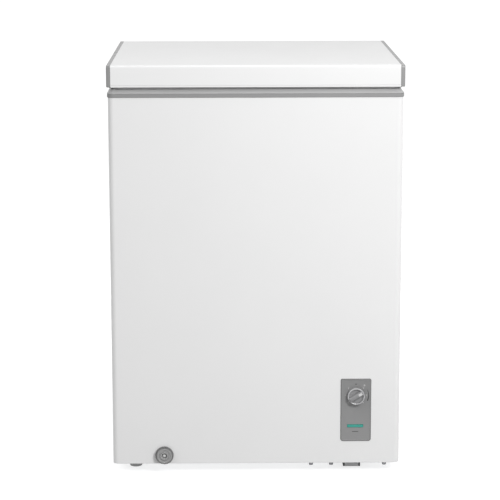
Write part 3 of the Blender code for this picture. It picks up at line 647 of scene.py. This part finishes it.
def add_lid():
    front, back, bottom, top = LID_LOW.y, LID_HIGH.y, LID_LOW.z, LID_HIGH.z
    hem, tuck = 0.0042, 0.0006

    def path(edge, corner):
        """One face of the bent sheet, with its hem tucked in along the bottom."""
        ahead, behind = front + edge, back - edge
        return [
            (ahead + tuck, bottom),
            (ahead + tuck, bottom + hem - 0.0006),
            (ahead, bottom + hem),
            *arc((ahead + corner, top - edge - corner), corner, 180, 90, 12),
            *arc((behind - corner, top - edge - corner), corner, 90, 0, 12),
            (behind, bottom + hem),
            (behind - tuck, bottom + hem - 0.0006),
            (behind - tuck, bottom),
        ]

    outline = path(0.0, LID_EDGE) + path(SHEET, LID_EDGE - SHEET)[::-1]
    sheet = extruded("lid_sheet", outline, "X", (LID_LOW.x, LID_HIGH.x), "paint")
    fit(sheet, "lid", "white_paint", "lid_skin")
    for side, sign in (("left", -1), ("right", 1)):
        low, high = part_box(f"lid_end_cap_{side}")
        inner = high.x if sign < 0 else low.x
        steps = (  # inset all round, distance out from the sheet
            (0.0, 0.0),
            (0.0, 0.0064),
            (0.0004, 0.0074),
            (0.0012, 0.0081),
            (0.0050, 0.0081),
            (0.0056, 0.0074),
        )
        loops = [[(inner + sign * reach, y, z) for y, z in lid_rect(inset)] for inset, reach in steps]
        cap = loft(f"lid_cap_{side}", loops, "cap")
        # painted light: the caps' upward faces get a lighter grey than their sides
        two_tone(cap, "cap_top_painted_highlight", lambda face: face.normal.z > 0.8)
        fit(cap, "lid", "grey_abs", f"lid_end_cap_{side}")
    add_lid_panel()
    add_gasket()


def add_lid_panel():
    """The moulded panel under the lid: a rim, a plug that enters the tub's mouth, and a recessed field."""
    low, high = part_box("lid_liner")
    rim = (low.x, high.x, low.y, high.y)
    thick, draft = 0.0015, 0.004
    rim_low = high.z - thick
    plug = tub_rect(-LID_PLUG_MARGIN)

    def loop(rect, inset, z, radius):
        x0, x1, y0, y1 = rect
        return flat_loop((x0 + inset, x1 - inset, y0 + inset, y1 - inset), z, radius)

    under = [
        (rim, 0.0, rim_low + 0.0003, 0.002),
        (rim, 0.0006, rim_low, 0.002),
        (plug, -0.0012, rim_low, 0.0212),
        (plug, 0.0, rim_low - 0.0008, 0.020),
        (plug, draft - 0.001, low.z + 0.0014, 0.017),
        (plug, draft + 0.0006, low.z, 0.016),
        (plug, 0.034, low.z, 0.014),
        (plug, 0.036, low.z + 0.0010, 0.014),
        (plug, 0.039, low.z + 0.0042, 0.013),
        (plug, 0.041, low.z + 0.0050, 0.012),
    ]
    over = [
        (plug, 0.041, low.z + 0.0050 + thick, 0.012),
        (plug, 0.0355, low.z + thick, 0.013),
        (plug, draft + thick, low.z + thick, 0.015),
        (plug, thick, rim_low + thick, 0.018),
        (rim, 0.0, rim_low + thick, 0.002),
    ]
    panel = loft("lid_inner_panel", [loop(*values) for values in over + under], "hips")
    fit(panel, "lid", "white_hips", "lid_liner")


def add_gasket():
    """The magnetic seal: an outer lip, a bulb with a groove along it, and a foot against the lid."""
    low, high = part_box("lid_gasket")
    near = low.x + CABINET_HALF
    far = near + 0.018
    seat, top = low.z, high.z
    lip = near - 0.0120
    section = [
        (near, top),
        (near, top - 0.0004),
        (lip + 0.0006, top - 0.0006),
        (lip, top - 0.0014),
        (lip + 0.0004, seat + 0.0010),
        (lip + 0.0014, seat + 0.0006),
        (near, seat + 0.0012),
        (near + 0.0006, seat + 0.0014),
        (near + 0.0010, seat + 0.0004),
        (near + 0.0024, seat),
        (near + 0.0080, seat),
        (near + 0.0090, seat + 0.0009),
        (near + 0.0100, seat),
        (far - 0.0024, seat),
        (far - 0.0010, seat + 0.0004),
        (far - 0.0006, seat + 0.0014),
        (far - 0.0022, top - 0.0016),
        (far, top - 0.0010),
        (far, top),
    ]
    loops = [cabinet_loop(inset, z, 0.020) for inset, z in section]
    fit(loft("lid_seal", loops, "gasket", closed=True), "lid", "grey_rubber", "lid_gasket")


# Thermostat


def add_panel():
    face, seat = PANEL_LOW.y, FRONT - GAP
    deep = PANEL_HIGH.y
    low_r, high_r = PANEL_RADII

    def loop(inset, y):
        flat = rounded(
            PANEL_LOW.x + inset, PANEL_HIGH.x - inset, PANEL_LOW.z + inset, PANEL_HIGH.z - inset,
            max(low_r - inset, 0.0012), max(high_r - inset, 0.0010), steps=8,
        )
        return [(x, y, z) for x, z in flat]

    rim, sunk = 0.0016, 0.0006
    loops = [
        loop(rim + 0.0003, face + sunk),
        loop(rim, face + sunk * 0.6),
        loop(rim - 0.0003, face + 0.00005),
        loop(rim - 0.0006, face),
        loop(0.0004, face),
        loop(0.0001, face + 0.0002),
        loop(0.0, face + 0.0005),
        loop(0.0, seat),
        loop(0.004, seat),
        loop(0.004, deep),
    ]
    panel = loft("control_panel", loops, "panel")
    low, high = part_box("indicator_window")
    window = cutter_box(
        "window_opening",
        (low.x - GAP, face - CUT, low.z - GAP),
        (high.x + GAP, deep + CUT, high.z + GAP),
    )
    shaft = bore("shaft_opening", SHAFT_HOLE, knob_centre(), "Y", face - CUT, deep + CUT)
    fit(carved(panel, window, shaft), "cabinet", "grey_abs_panel", "control_fascia")
    spread = 0.0009  # how far the black seal strip, which is partly a painted shadow gap, shows past the panel
    # partly painted shadow: a black strip round the panel, both its seam seal and the shade in the gap
    seal = [loop(-spread, y) for y in (FRONT - 0.00002, FRONT - 0.0007)]
    fit(loft("panel_seal_painted_shadow", seal, "black"), "cabinet", "black_plastic")
    add_marks(face + sunk)


def knob_centre():
    return centre_of(KNOB_LOW, KNOB_HIGH, "Y")


def clock(angle, radius):
    """The point on the panel at an angle clockwise from straight up, about the knob."""
    x, z = knob_centre()
    return x + radius * sin(radians(angle)), z + radius * cos(radians(angle))


def flat_mark(name, outline, face, material):
    """A printed mark, as a film on the panel."""
    made = extruded(name, outline, "Y", (face + 0.0001, face - 0.00012), material)
    return fit(made, "cabinet", "grey_abs_panel")


def add_marks(face):
    """The dial's scale: a thickening wedge, numbers with a dot in the middle, and a frost mark."""
    start, end, steps, middle, thickest, thinnest = 62, 116, 20, 0.0262, 0.0024, 0.0005
    outer, inner = [], []
    for i in range(steps + 1):
        share = i / steps
        angle = start + (end - start) * share
        half = (thinnest + (thickest - thinnest) * share**0.8) / 2
        outer.append(clock(angle, middle + half))
        inner.append(clock(angle, middle - half))
    flat_mark("scale_wedge", outer + inner[::-1], face, "print")
    for number in (0, 1, 2, 4, 5, 6):  # a dot stands at the middle setting
        angle = -135 + 45 * number
        x, z = clock(angle, 0.0218)
        text = bpy.data.curves.new(f"scale_number_{number}", "FONT")
        text.body = str(number)
        text.size = 0.0046
        text.align_x = text.align_y = "CENTER"
        text.extrude = 0.0001
        text.materials.append(MATERIALS["light_print"])
        made = linked(bpy.data.objects.new(f"scale_number_{number}", text))
        made.location = (x, face - 0.00005, z)
        made.rotation_euler = (pi / 2, 0, 0)
        fit(as_placed_mesh(made), "cabinet", "grey_abs_panel")
    dot_x, dot_z = clock(0, 0.0238)
    flat_mark("scale_dot", arc((dot_x, dot_z), 0.0012, 0, 330, 11), face, "print")
    x, z = clock(39, 0.0276)
    arm, half = 0.0024, 0.00027
    for number in range(3):
        turn = radians(60 * number)
        along, side = Vector((cos(turn), sin(turn))), Vector((-sin(turn), cos(turn)))
        ends = [along * arm + side * half, -along * arm + side * half]
        ends += [-along * arm - side * half, along * arm - side * half]
        outline = [(x + p.x, z + p.y) for p in ends]
        flat_mark(f"frost_mark_{number + 1}", outline, face - 0.00003 * number, "light_print")
    low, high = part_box("indicator_window")
    middle_x, below = (low.x + high.x) / 2, low.z - 0.0098
    dash = rounded(middle_x - 0.0065, middle_x + 0.0065, below, below + 0.0013, 0.0005, steps=3)
    flat_mark("window_mark", dash, face, "print")


def as_placed_mesh(obj):
    """The text as a mesh, with its place in the mesh."""
    matrix = obj.matrix_basis.copy()
    made = as_mesh(obj)
    made.data.transform(matrix)
    return made


def add_knob():
    """A cupped knob with a lighter ring on its rim as a painted highlight, and a grip bar with a light
    pointer.
    """
    centre = knob_centre()
    radius = (KNOB_HIGH.x - KNOB_LOW.x) / 2
    back, front = KNOB_HIGH.y, KNOB_LOW.y
    rim, dish = front + 0.0035, front + 0.0075
    profile = [
        (0.0045, back - 0.0001),
        (radius - 0.0010, back),
        (radius - 0.0002, back - 0.0006),
        (radius, back - 0.0020),
        (radius - 0.0008, rim + 0.0030),
        (radius - 0.0030, rim + 0.0012),
        (radius - 0.0040, dish + 0.0002),
        (radius - 0.0050, dish + 0.0006),
    ]
    cup = turned("knob_cup", profile, centre, "Y", "knob", segments=96)
    fit(cup, "thermostat_knob", "grey_knob", "thermostat_knob")
    ring_profile = [
        (radius - 0.0006, rim + 0.0034),
        (radius - 0.0003, rim + 0.0022),
        (radius - 0.0007, rim + 0.0006),
        (radius - 0.0014, rim),
        (radius - 0.0022, rim + 0.0001),
        (radius - 0.0029, rim + 0.0008),
        (radius - 0.0034, rim + 0.0022),
        (radius - 0.0034, rim + 0.0034),
    ]
    # painted highlight: a lighter grey ring laid over the cup's rim
    rim_highlight = turned("knob_highlight_ring", ring_profile, centre, "Y", "rim_highlight", segments=96, closed=True)
    fit(rim_highlight, "thermostat_knob", "grey_knob")

    length, wide = radius - 0.0019, 0.0054
    loops = []
    steps = ((0.0, dish + 0.0008), (0.0004, dish - 0.0030), (0.0012, front + 0.0012), (0.0026, front))
    for inset, y in steps:
        flat = rounded(-wide + inset, wide - inset, -length + inset, length - inset * 0.6, 0.0014, steps=6)
        loops.append([(a, y, b) for a, b in flat])
    bar = loft("knob_bar", loops, "knob")
    tip = loft(
        "knob_pointer",
        [
            [(a, y, b) for a, b in rounded(-half, half, 0.0060, length - inset, 0.0010, steps=4)]
            for half, inset, y in (
                (0.0027, 0.0021, front + 0.0004),
                (0.0027, 0.0021, front - 0.00002),
            )
        ],
        "pointer",
    )
    turn = Matrix.Translation((centre[0], 0, centre[1])) @ Matrix.Rotation(radians(KNOB_POINTS_AT), 4, "Y")
    for piece in (bar, tip):
        piece.data.transform(turn)
        fit(piece, "thermostat_knob", "grey_knob")


# Drain


def add_drain():
    """The fluted dial with its grooved face and arrow, the spout's nose, and the seat behind them."""
    centre = centre_of(DIAL_LOW, DIAL_HIGH, "Y")
    radius = (DIAL_HIGH.x - DIAL_LOW.x) / 2
    near, far = DIAL_HIGH.y, DIAL_LOW.y
    spout_low, spout_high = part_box("drain_spout")
    spout = (spout_high.x - spout_low.x) / 2
    hub = spout + 0.0003
    segments, flutes, flute_depth = 288, 36, 0.0013
    profile = [  # radius, height, share of the flutes' depth
        (hub, near, 0.0),
        (radius - 0.0012, near, 0.0),
        (radius - 0.0003, near - 0.0006, 1.0),
        (radius, near - 0.0014, 1.0),
        (radius, far + 0.0042, 1.0),
        (radius - 0.0010, far + 0.0022, 1.0),
        (radius - 0.0030, far + 0.0006, 0.8),
        (radius - 0.0040, far + 0.0001, 0.3),
        (radius - 0.0046, far, 0.0),
        (radius - 0.0058, far, 0.0),
        (radius - 0.0064, far + 0.0012, 0.0),
        (hub + 0.0020, far + 0.0016, 0.0),
        (hub + 0.0012, far + 0.0006, 0.0),
        (hub + 0.0003, far + 0.0004, 0.0),
        (hub, far + 0.0010, 0.0),
    ]
    loops = [ring(r, y, centre, "Y", segments, flutes, flute_depth * share) for r, y, share in profile]

    def is_outer(place):
        return Vector((place.x - centre[0], place.z - centre[1])).length > radius - 0.0042

    dial = loft("drain_cap", loops, "drain", closed=True)
    # painted shade: the dial's outer side faces get a darker grey than its face
    two_tone(dial, "rim", lambda face: abs(face.normal.y) < 0.85 and is_outer(face.center))
    fit(dial, "drain_dial", "grey_drain", "drain_dial")
    x, z = centre
    at = radius - 0.0052
    wide = 0.0015
    arrow = [(x - wide, z - at + 0.0008), (x + wide, z - at + 0.0008), (x, z - at - 0.0012)]
    made = extruded("drain_arrow", arrow, "Y", (far + 0.0002, far - 0.00015), "light_print")
    fit(made, "drain_dial", "grey_drain")

    tip, tail, hollow = spout_low.y, spout_high.y, 0.0035
    nose = [
        (hollow, tail),
        (spout, tail),
        (spout, tip + 0.0012),
        (spout - 0.0003, tip + 0.0004),
        (spout - 0.0012, tip),
        (hollow + 0.0030, tip),
        (hollow + 0.0024, tip + 0.0005),
        (hollow + 0.0012, tip + 0.0045),
        (hollow, tip + 0.0080),
    ]
    made = turned("drain_nose", nose, centre, "Y", "drain", closed=True)
    fit(made, "drain_spout", "grey_drain", "drain_spout")
    # painted highlight: the stopper's light grey paints the bright spot of light in the outlet
    stopper = [
        (hollow - 0.0001, tip + 0.0100),
        (hollow - 0.0001, tip + 0.0034),
        (hollow - 0.0006, tip + 0.0024),
        (hollow - 0.0016, tip + 0.0017),
        (0.0006, tip + 0.0014),
    ]
    fit(turned("drain_stopper_painted_highlight", stopper, centre, "Y", "light_print"), "drain_spout", "grey_drain")
    low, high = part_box("drain_bezel")
    wide = (high.x - low.x) / 2
    sleeve, inner = 0.012, spout + 0.0005
    seat = [
        (inner, low.y + 0.0003),
        (inner + 0.0005, low.y),
        (wide - 0.0012, low.y),
        (wide - 0.0002, low.y + 0.0005),
        (wide, low.y + 0.0012),
        (wide, FRONT - GAP),
        (sleeve, FRONT - GAP),
        (sleeve, high.y),
        (inner, high.y),
    ]
    fit(turned("drain_seat", seat, centre, "Y", "drain", closed=True), "cabinet", "grey_drain", "drain_bezel")


# Basket


def add_basket():
    """The wire basket: a thick rim, U-shaped ribs both ways, and hangers bent over the collar's ledge."""
    low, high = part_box("basket")
    reach = 0.016
    rim_wire, rib_wire = 0.0021, 0.0012
    x0, x1 = low.x + rim_wire, high.x - rim_wire
    y0, y1 = low.y + reach + rim_wire, high.y - reach - rim_wire
    rim_z, floor = COLLAR_LOW.z + LEDGE_RISE - 0.0002 - rim_wire, low.z + rib_wire * 2
    taper, bend = 0.010, 0.010

    def loop(inset, z, radius):
        return flat_loop((x0 + inset, x1 - inset, y0 + inset, y1 - inset), z, radius, steps=8)

    rim = wires("basket_rim", [loop(0, rim_z, 0.015)], rim_wire, "wire", cyclic=True)
    fit(rim, "basket", "white_wire", "basket")
    depth = rim_z - floor
    bands = []
    for share in (0.12, 0.34, 0.56, 0.78):
        bands.append(loop(taper * share, rim_z - depth * share, 0.015 - 0.003 * share))
    fit(wires("basket_bands", bands, rib_wire, "wire", cyclic=True), "basket", "white_wire")

    ribs = []
    count_y, count_x, end_y, end_x = 19, 9, 0.020, 0.022
    inside = rim_wire * 0.4
    for i in range(count_y):
        y = y0 + end_y + (y1 - y0 - 2 * end_y) * i / (count_y - 1)
        across = ((x0 + inside, rim_z), (x0 + taper, floor), (x1 - taper, floor), (x1 - inside, rim_z))
        ribs.append(filleted([(x, y, z) for x, z in across], bend))
    over = floor + rib_wire * 1.9
    for i in range(count_x):
        x = x0 + end_x + (x1 - x0 - 2 * end_x) * i / (count_x - 1)
        along = ((y0 + inside, rim_z), (y0 + taper, over), (y1 - taper, over), (y1 - inside, rim_z))
        ribs.append(filleted([(x, y, z) for y, z in along], bend))
    fit(wires("basket_ribs", ribs, rib_wire, "wire"), "basket", "white_wire")

    hook_wire = 0.0016
    ledge = COLLAR_LOW.z + LEDGE_RISE + hook_wire + 0.0001
    hooks = []
    inner, outer, drop = 0.024, 0.070, 0.020
    for edge, way in ((y0, -1), (y1, 1)):
        for left, right in ((x0 + inner, x0 + outer), (x1 - outer, x1 - inner)):
            tip = edge + way * (reach - hook_wire * 0.5)
            side = edge - way * (rim_wire * 0.4)
            foot = rim_z - drop
            bent = ((left, side, foot), (left, side, ledge), (left, tip, ledge))
            bent += ((right, tip, ledge), (right, side, ledge), (right, side, foot))
            hooks.append(filleted(bent, 0.0032))
    fit(wires("basket_hangers", hooks, hook_wire, "wire"), "basket", "white_wire")


# Underside, hinges and the compressor bay


def add_feet():
    for name in ("foot_front_left", "foot_rear_left"):
        low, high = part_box(name)
        centre = centre_of(low, high, "Z")
        radius = (high.x - low.x) / 2
        steps = (  # radius, height, whether it is fluted
            (0.0105, 0.0, 0),
            (radius - 0.0006, 0.0004, 0),
            (radius, 0.0020, 1),
            (radius, 0.0112, 1),
            (radius - 0.0010, 0.0124, 0),
            (0.0100, 0.0136, 0),
            (0.0100, high.z, 0),
        )
        loops = [ring(r, z, centre, "Z", 144, 24, 0.0005 * fluted) for r, z, fluted in steps]
        fit(loft(f"glide_{name[5:]}", loops, "glide"), "cabinet", "dark_grey_plastic", name)
    for name in ("foot_front_right", "foot_rear_right"):
        low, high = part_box(name)
        cheek, inset = 0.0035, 0.0008
        start, end = (low.x + cheek, low.y + inset, low.z), (high.x - cheek, high.y - inset, high.z)
        middle = block(f"pad_{name[5:]}", start, end, "X", 0.0030, 0.0004, "pad")
        fit(middle, "cabinet", "dark_grey_plastic", name)
        for side, x in (("left", low.x), ("right", high.x - cheek)):
            start, end = (x, low.y, low.z), (x + cheek, high.y, high.z)
            made = block(f"pad_{name[5:]}_{side}", start, end, "X", 0.0040, 0.0006, "dark")
            fit(made, "cabinet", "dark_grey_plastic")


def refine(node, material, bevel=0.0006, segments=3):
    """A CAD node with soft edges, smooth round faces and its own material."""
    obj = frame["nodes"][node]
    obj.data.materials.clear()
    obj.data.materials.append(MATERIALS[material])
    obj.data.polygons.foreach_set("use_smooth", [True] * len(obj.data.polygons))
    weld = obj.modifiers.new("weld", "WELD")
    weld.merge_threshold = 0.00001
    if bevel:
        edges = obj.modifiers.new("edges", "BEVEL")
        edges.width = bevel
        edges.segments = segments
        edges.limit_method = "ANGLE"
        edges.angle_limit = radians(SHARP)
    normals = obj.modifiers.new("normals", "WEIGHTED_NORMAL")
    normals.keep_sharp = False


CARRIED = (  # node, material, width of its soft edges
    ("back_panel", "back_paint", 0.0),
    ("base_plate", "steel", 0.0),
    ("compressor_bulkhead", "steel", 0.0),
    ("body_foam", "foam", 0.0),
    ("lid_foam", "foam", 0.0),
    ("evaporator_coil", "copper", 0.0),
    ("condenser_coil", "copper", 0.0),
    ("thermostat_body", "steel", 0.0004),
    ("thermostat_shaft", "moulding", 0.0),
    ("indicator_window", "teal", 0.0003),
    ("indicator_lamp", "moulding", 0.0006),
    ("drain_tube", "moulding", 0.0),
    ("drain_plug", "gasket", 0.0005),
    ("compressor_bracket", "steel", 0.0004),
    ("compressor_tray", "steel", 0.0004),
    ("terminal_cover", "black", 0.0),
    ("filter_drier", "copper", 0.001),
    ("compressor_grille", "grille", 0.0003),
    ("cord_gland", "black", 0.0004),
)


def add_hinges():
    for side in ("left", "right"):
        refine(f"hinge_base_{side}", "steel", 0.0004)
        refine(f"hinge_arm_{side}", "steel", 0.0003)
        refine(f"hinge_pin_{side}", "steel", 0.0004)
        refine(f"hinge_cover_{side}", "moulding", 0.0004)
        low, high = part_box(f"hinge_spring_{side}")
        wire, turns, per_turn = 0.0008, 5, 28
        radius = (high.z - low.z) / 2 - wire
        start, end = low.x + wire, high.x - wire
        count = turns * per_turn
        helix = [
            (
                start + (end - start) * i / count,
                PIVOT.y + radius * cos(tau * i / per_turn),
                PIVOT.z + radius * sin(tau * i / per_turn),
            )
            for i in range(count + 1)
        ]
        spring = wires(f"spring_{side}", [helix], wire, "spring")
        fit(spring, "cabinet", "zinc_steel", f"hinge_spring_{side}")

        low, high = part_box(f"hinge_arm_{side}")
        leaf_face = low.y + 0.0022
        z_mid = (PIVOT.z + 0.0135 + high.z) / 2
        middle_x = (low.x + high.x) / 2
        places = [(middle_x + dx, leaf_face, z_mid) for dx in (-0.014, 0.014)]
        screws(f"leaf_screws_{side}", places, (0, 1, 0), 0.0032, "lid")


def add_compressor():
    """The compressor's pressed shell with its welded seam and fittings, on ribbed rubber mounts."""
    low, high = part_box("compressor")
    centre = centre_of(low, high, "Z")
    foot, seam, base, bowl = low.z, 0.0025, 0.040, 0.026
    radius = (high.x - low.x) / 2 - seam
    dome = [(0.034, foot), (base, foot + 0.0004)]
    dome += [
        (base + (radius - base) * sin(radians(a)), foot + bowl * (1 - cos(radians(a))))
        for a in range(15, 91, 15)
    ]
    dome += [
        (radius, foot + 0.0545),
        (radius + seam * 0.4, foot + 0.0556),
        (radius + seam, foot + 0.0560),
        (radius + seam, foot + 0.0596),
        (radius + seam * 0.5, foot + 0.0606),
        (radius, foot + 0.0616),
    ]
    crown, shoulder = foot + 0.155, foot + 0.104
    dome += [
        (0.012 + (radius - 0.012) * cos(radians(a)), shoulder + (crown - shoulder) * sin(radians(a)))
        for a in range(0, 91, 9)
    ]
    fit(turned("compressor_shell", dome, centre, "Z", "enamel", 96), "cabinet", "black_steel", "compressor")
    for number in range(1, 5):
        name = f"compressor_mount_{number}"
        low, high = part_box(name)
        middle = centre_of(low, high, "Z")
        wide, narrow = (high.x - low.x) / 2, 0.0080
        profile = []
        count = 24
        for i in range(count + 1):
            share = i / count
            r = narrow + (wide - narrow) * (0.5 + 0.5 * cos(share * tau * 2)) ** 0.8
            profile.append((r, low.z + (high.z - low.z) * share))
        fit(turned(f"mount_{number}", profile, middle, "Z", "rubber", 40), "cabinet", "black_rubber", name)
    for name in ("suction_tube", "discharge_tube"):
        refine(name, "copper", 0.0)


def add_grille_screws():
    low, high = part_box("compressor_grille")
    face = low.y + 0.0012
    inset = 0.0042
    places = [(x, face, z) for x in (low.x + inset, high.x - inset) for z in (low.z + 0.060, high.z - 0.030)]
    screws("grille_screws", places, (0, 1, 0), 0.0026, "cabinet")


def add_bolts():
    for row in ("front", "rear"):
        for number in range(1, 4):
            refine(f"tray_bolt_{row}_{number}", "bolt", 0.0004)


# Floor, light and camera


def add_light(name, place, target, size, watts, glossy=True):
    lamp = bpy.data.lights.new(name, "AREA")
    lamp.shape = "DISK"
    lamp.size = size
    lamp.energy = watts
    made = linked(bpy.data.objects.new(name, lamp))
    made.location = place
    made.rotation_euler = (Vector(target) - Vector(place)).to_track_quat("-Z", "Y").to_euler()
    made.visible_camera = False
    made.visible_glossy = glossy


def add_floor():
    """A pale floor bright enough to come out white, which leaves the object's shading to the lights."""
    made, tree, shader = new_material(
        "floor_white", Roughness=0.9, Emission_Color=(1.0, 1.0, 1.0, 1.0), Emission_Strength=0.70
    )
    vector = coordinates(tree)
    feed(tree, shader, Base_Color=ramp_of(tree, noise_of(tree, vector, 0.8, 2.0), 0.41, 0.42))
    MATERIALS["floor"] = made
    reach = 60.0
    corners = [(-reach, -reach, 0), (reach, -reach, 0), (reach, reach, 0), (-reach, reach, 0)]
    bm = bmesh.new()
    bm.faces.new([bm.verts.new(corner) for corner in corners])
    floor = finish_mesh("floor", bm, "floor")
    floor.location.z = -0.0002
    floor.visible_diffuse = False


# Height in the sky, from straight down to straight up, and its light
SKY = ((0.0, 0.18), (0.5, 0.445), (1.0, 1.08))


def add_world():
    """Soft light from all round, strongest from above, with a key at the right and two fills behind."""
    world = bpy.data.worlds.new("studio")
    world.use_nodes = True
    tree = world.node_tree
    place = node_of(tree, "ShaderNodeTexCoord")
    split = node_of(tree, "ShaderNodeSeparateXYZ")
    tree.links.new(place.outputs["Generated"], split.inputs["Vector"])
    height = node_of(tree, "ShaderNodeMapRange")
    height.inputs["From Min"].default_value = -1.0
    tree.links.new(split.outputs["Z"], height.inputs["Value"])
    ramp = node_of(tree, "ShaderNodeValToRGB")
    ramp.color_ramp.elements.new(0.5)
    for element, (position, level) in zip(ramp.color_ramp.elements, SKY):
        element.position = position
        element.color = (level, level, level, 1.0)
    tree.links.new(height.outputs["Result"], ramp.inputs["Fac"])
    tree.links.new(ramp.outputs["Color"], tree.nodes["Background"].inputs["Color"])
    bpy.context.scene.world = world
    add_light("key", (1.0, -2.15, 1.6), (0, 0, 0.45), 0.45, 35)
    add_light("left_fill", (-2.0, 1.8, 1.6), (0, 0, 0.45), 1.5, 30, glossy=False)
    add_light("right_fill", (2.0, 1.6, 1.4), (0, 0, 0.45), 1.5, 22, glossy=False)


def add_camera():
    camera = bpy.data.cameras.new("camera")
    camera.lens, camera.sensor_width = 136.54, 36.0
    camera.shift_x, camera.shift_y = 0.0, -0.05
    made = linked(bpy.data.objects.new("camera", camera))
    made.location = (-0.0557, -4.0403, 1.2459)
    made.rotation_euler = (radians(90 - 10.807), radians(0.094), radians(-0.681))
    bpy.context.scene.camera = made
    bpy.context.scene.view_settings.view_transform = "Standard"


add_camera()
add_cabinet()
add_collar()
add_tub()
add_back()
add_lid()
add_panel()
add_knob()
add_drain()
add_basket()
add_feet()
add_hinges()
add_compressor()
add_grille_screws()
add_bolts()
for carried, finish, soft_edge in CARRIED:
    refine(carried, finish, soft_edge)
add_floor()
add_world()
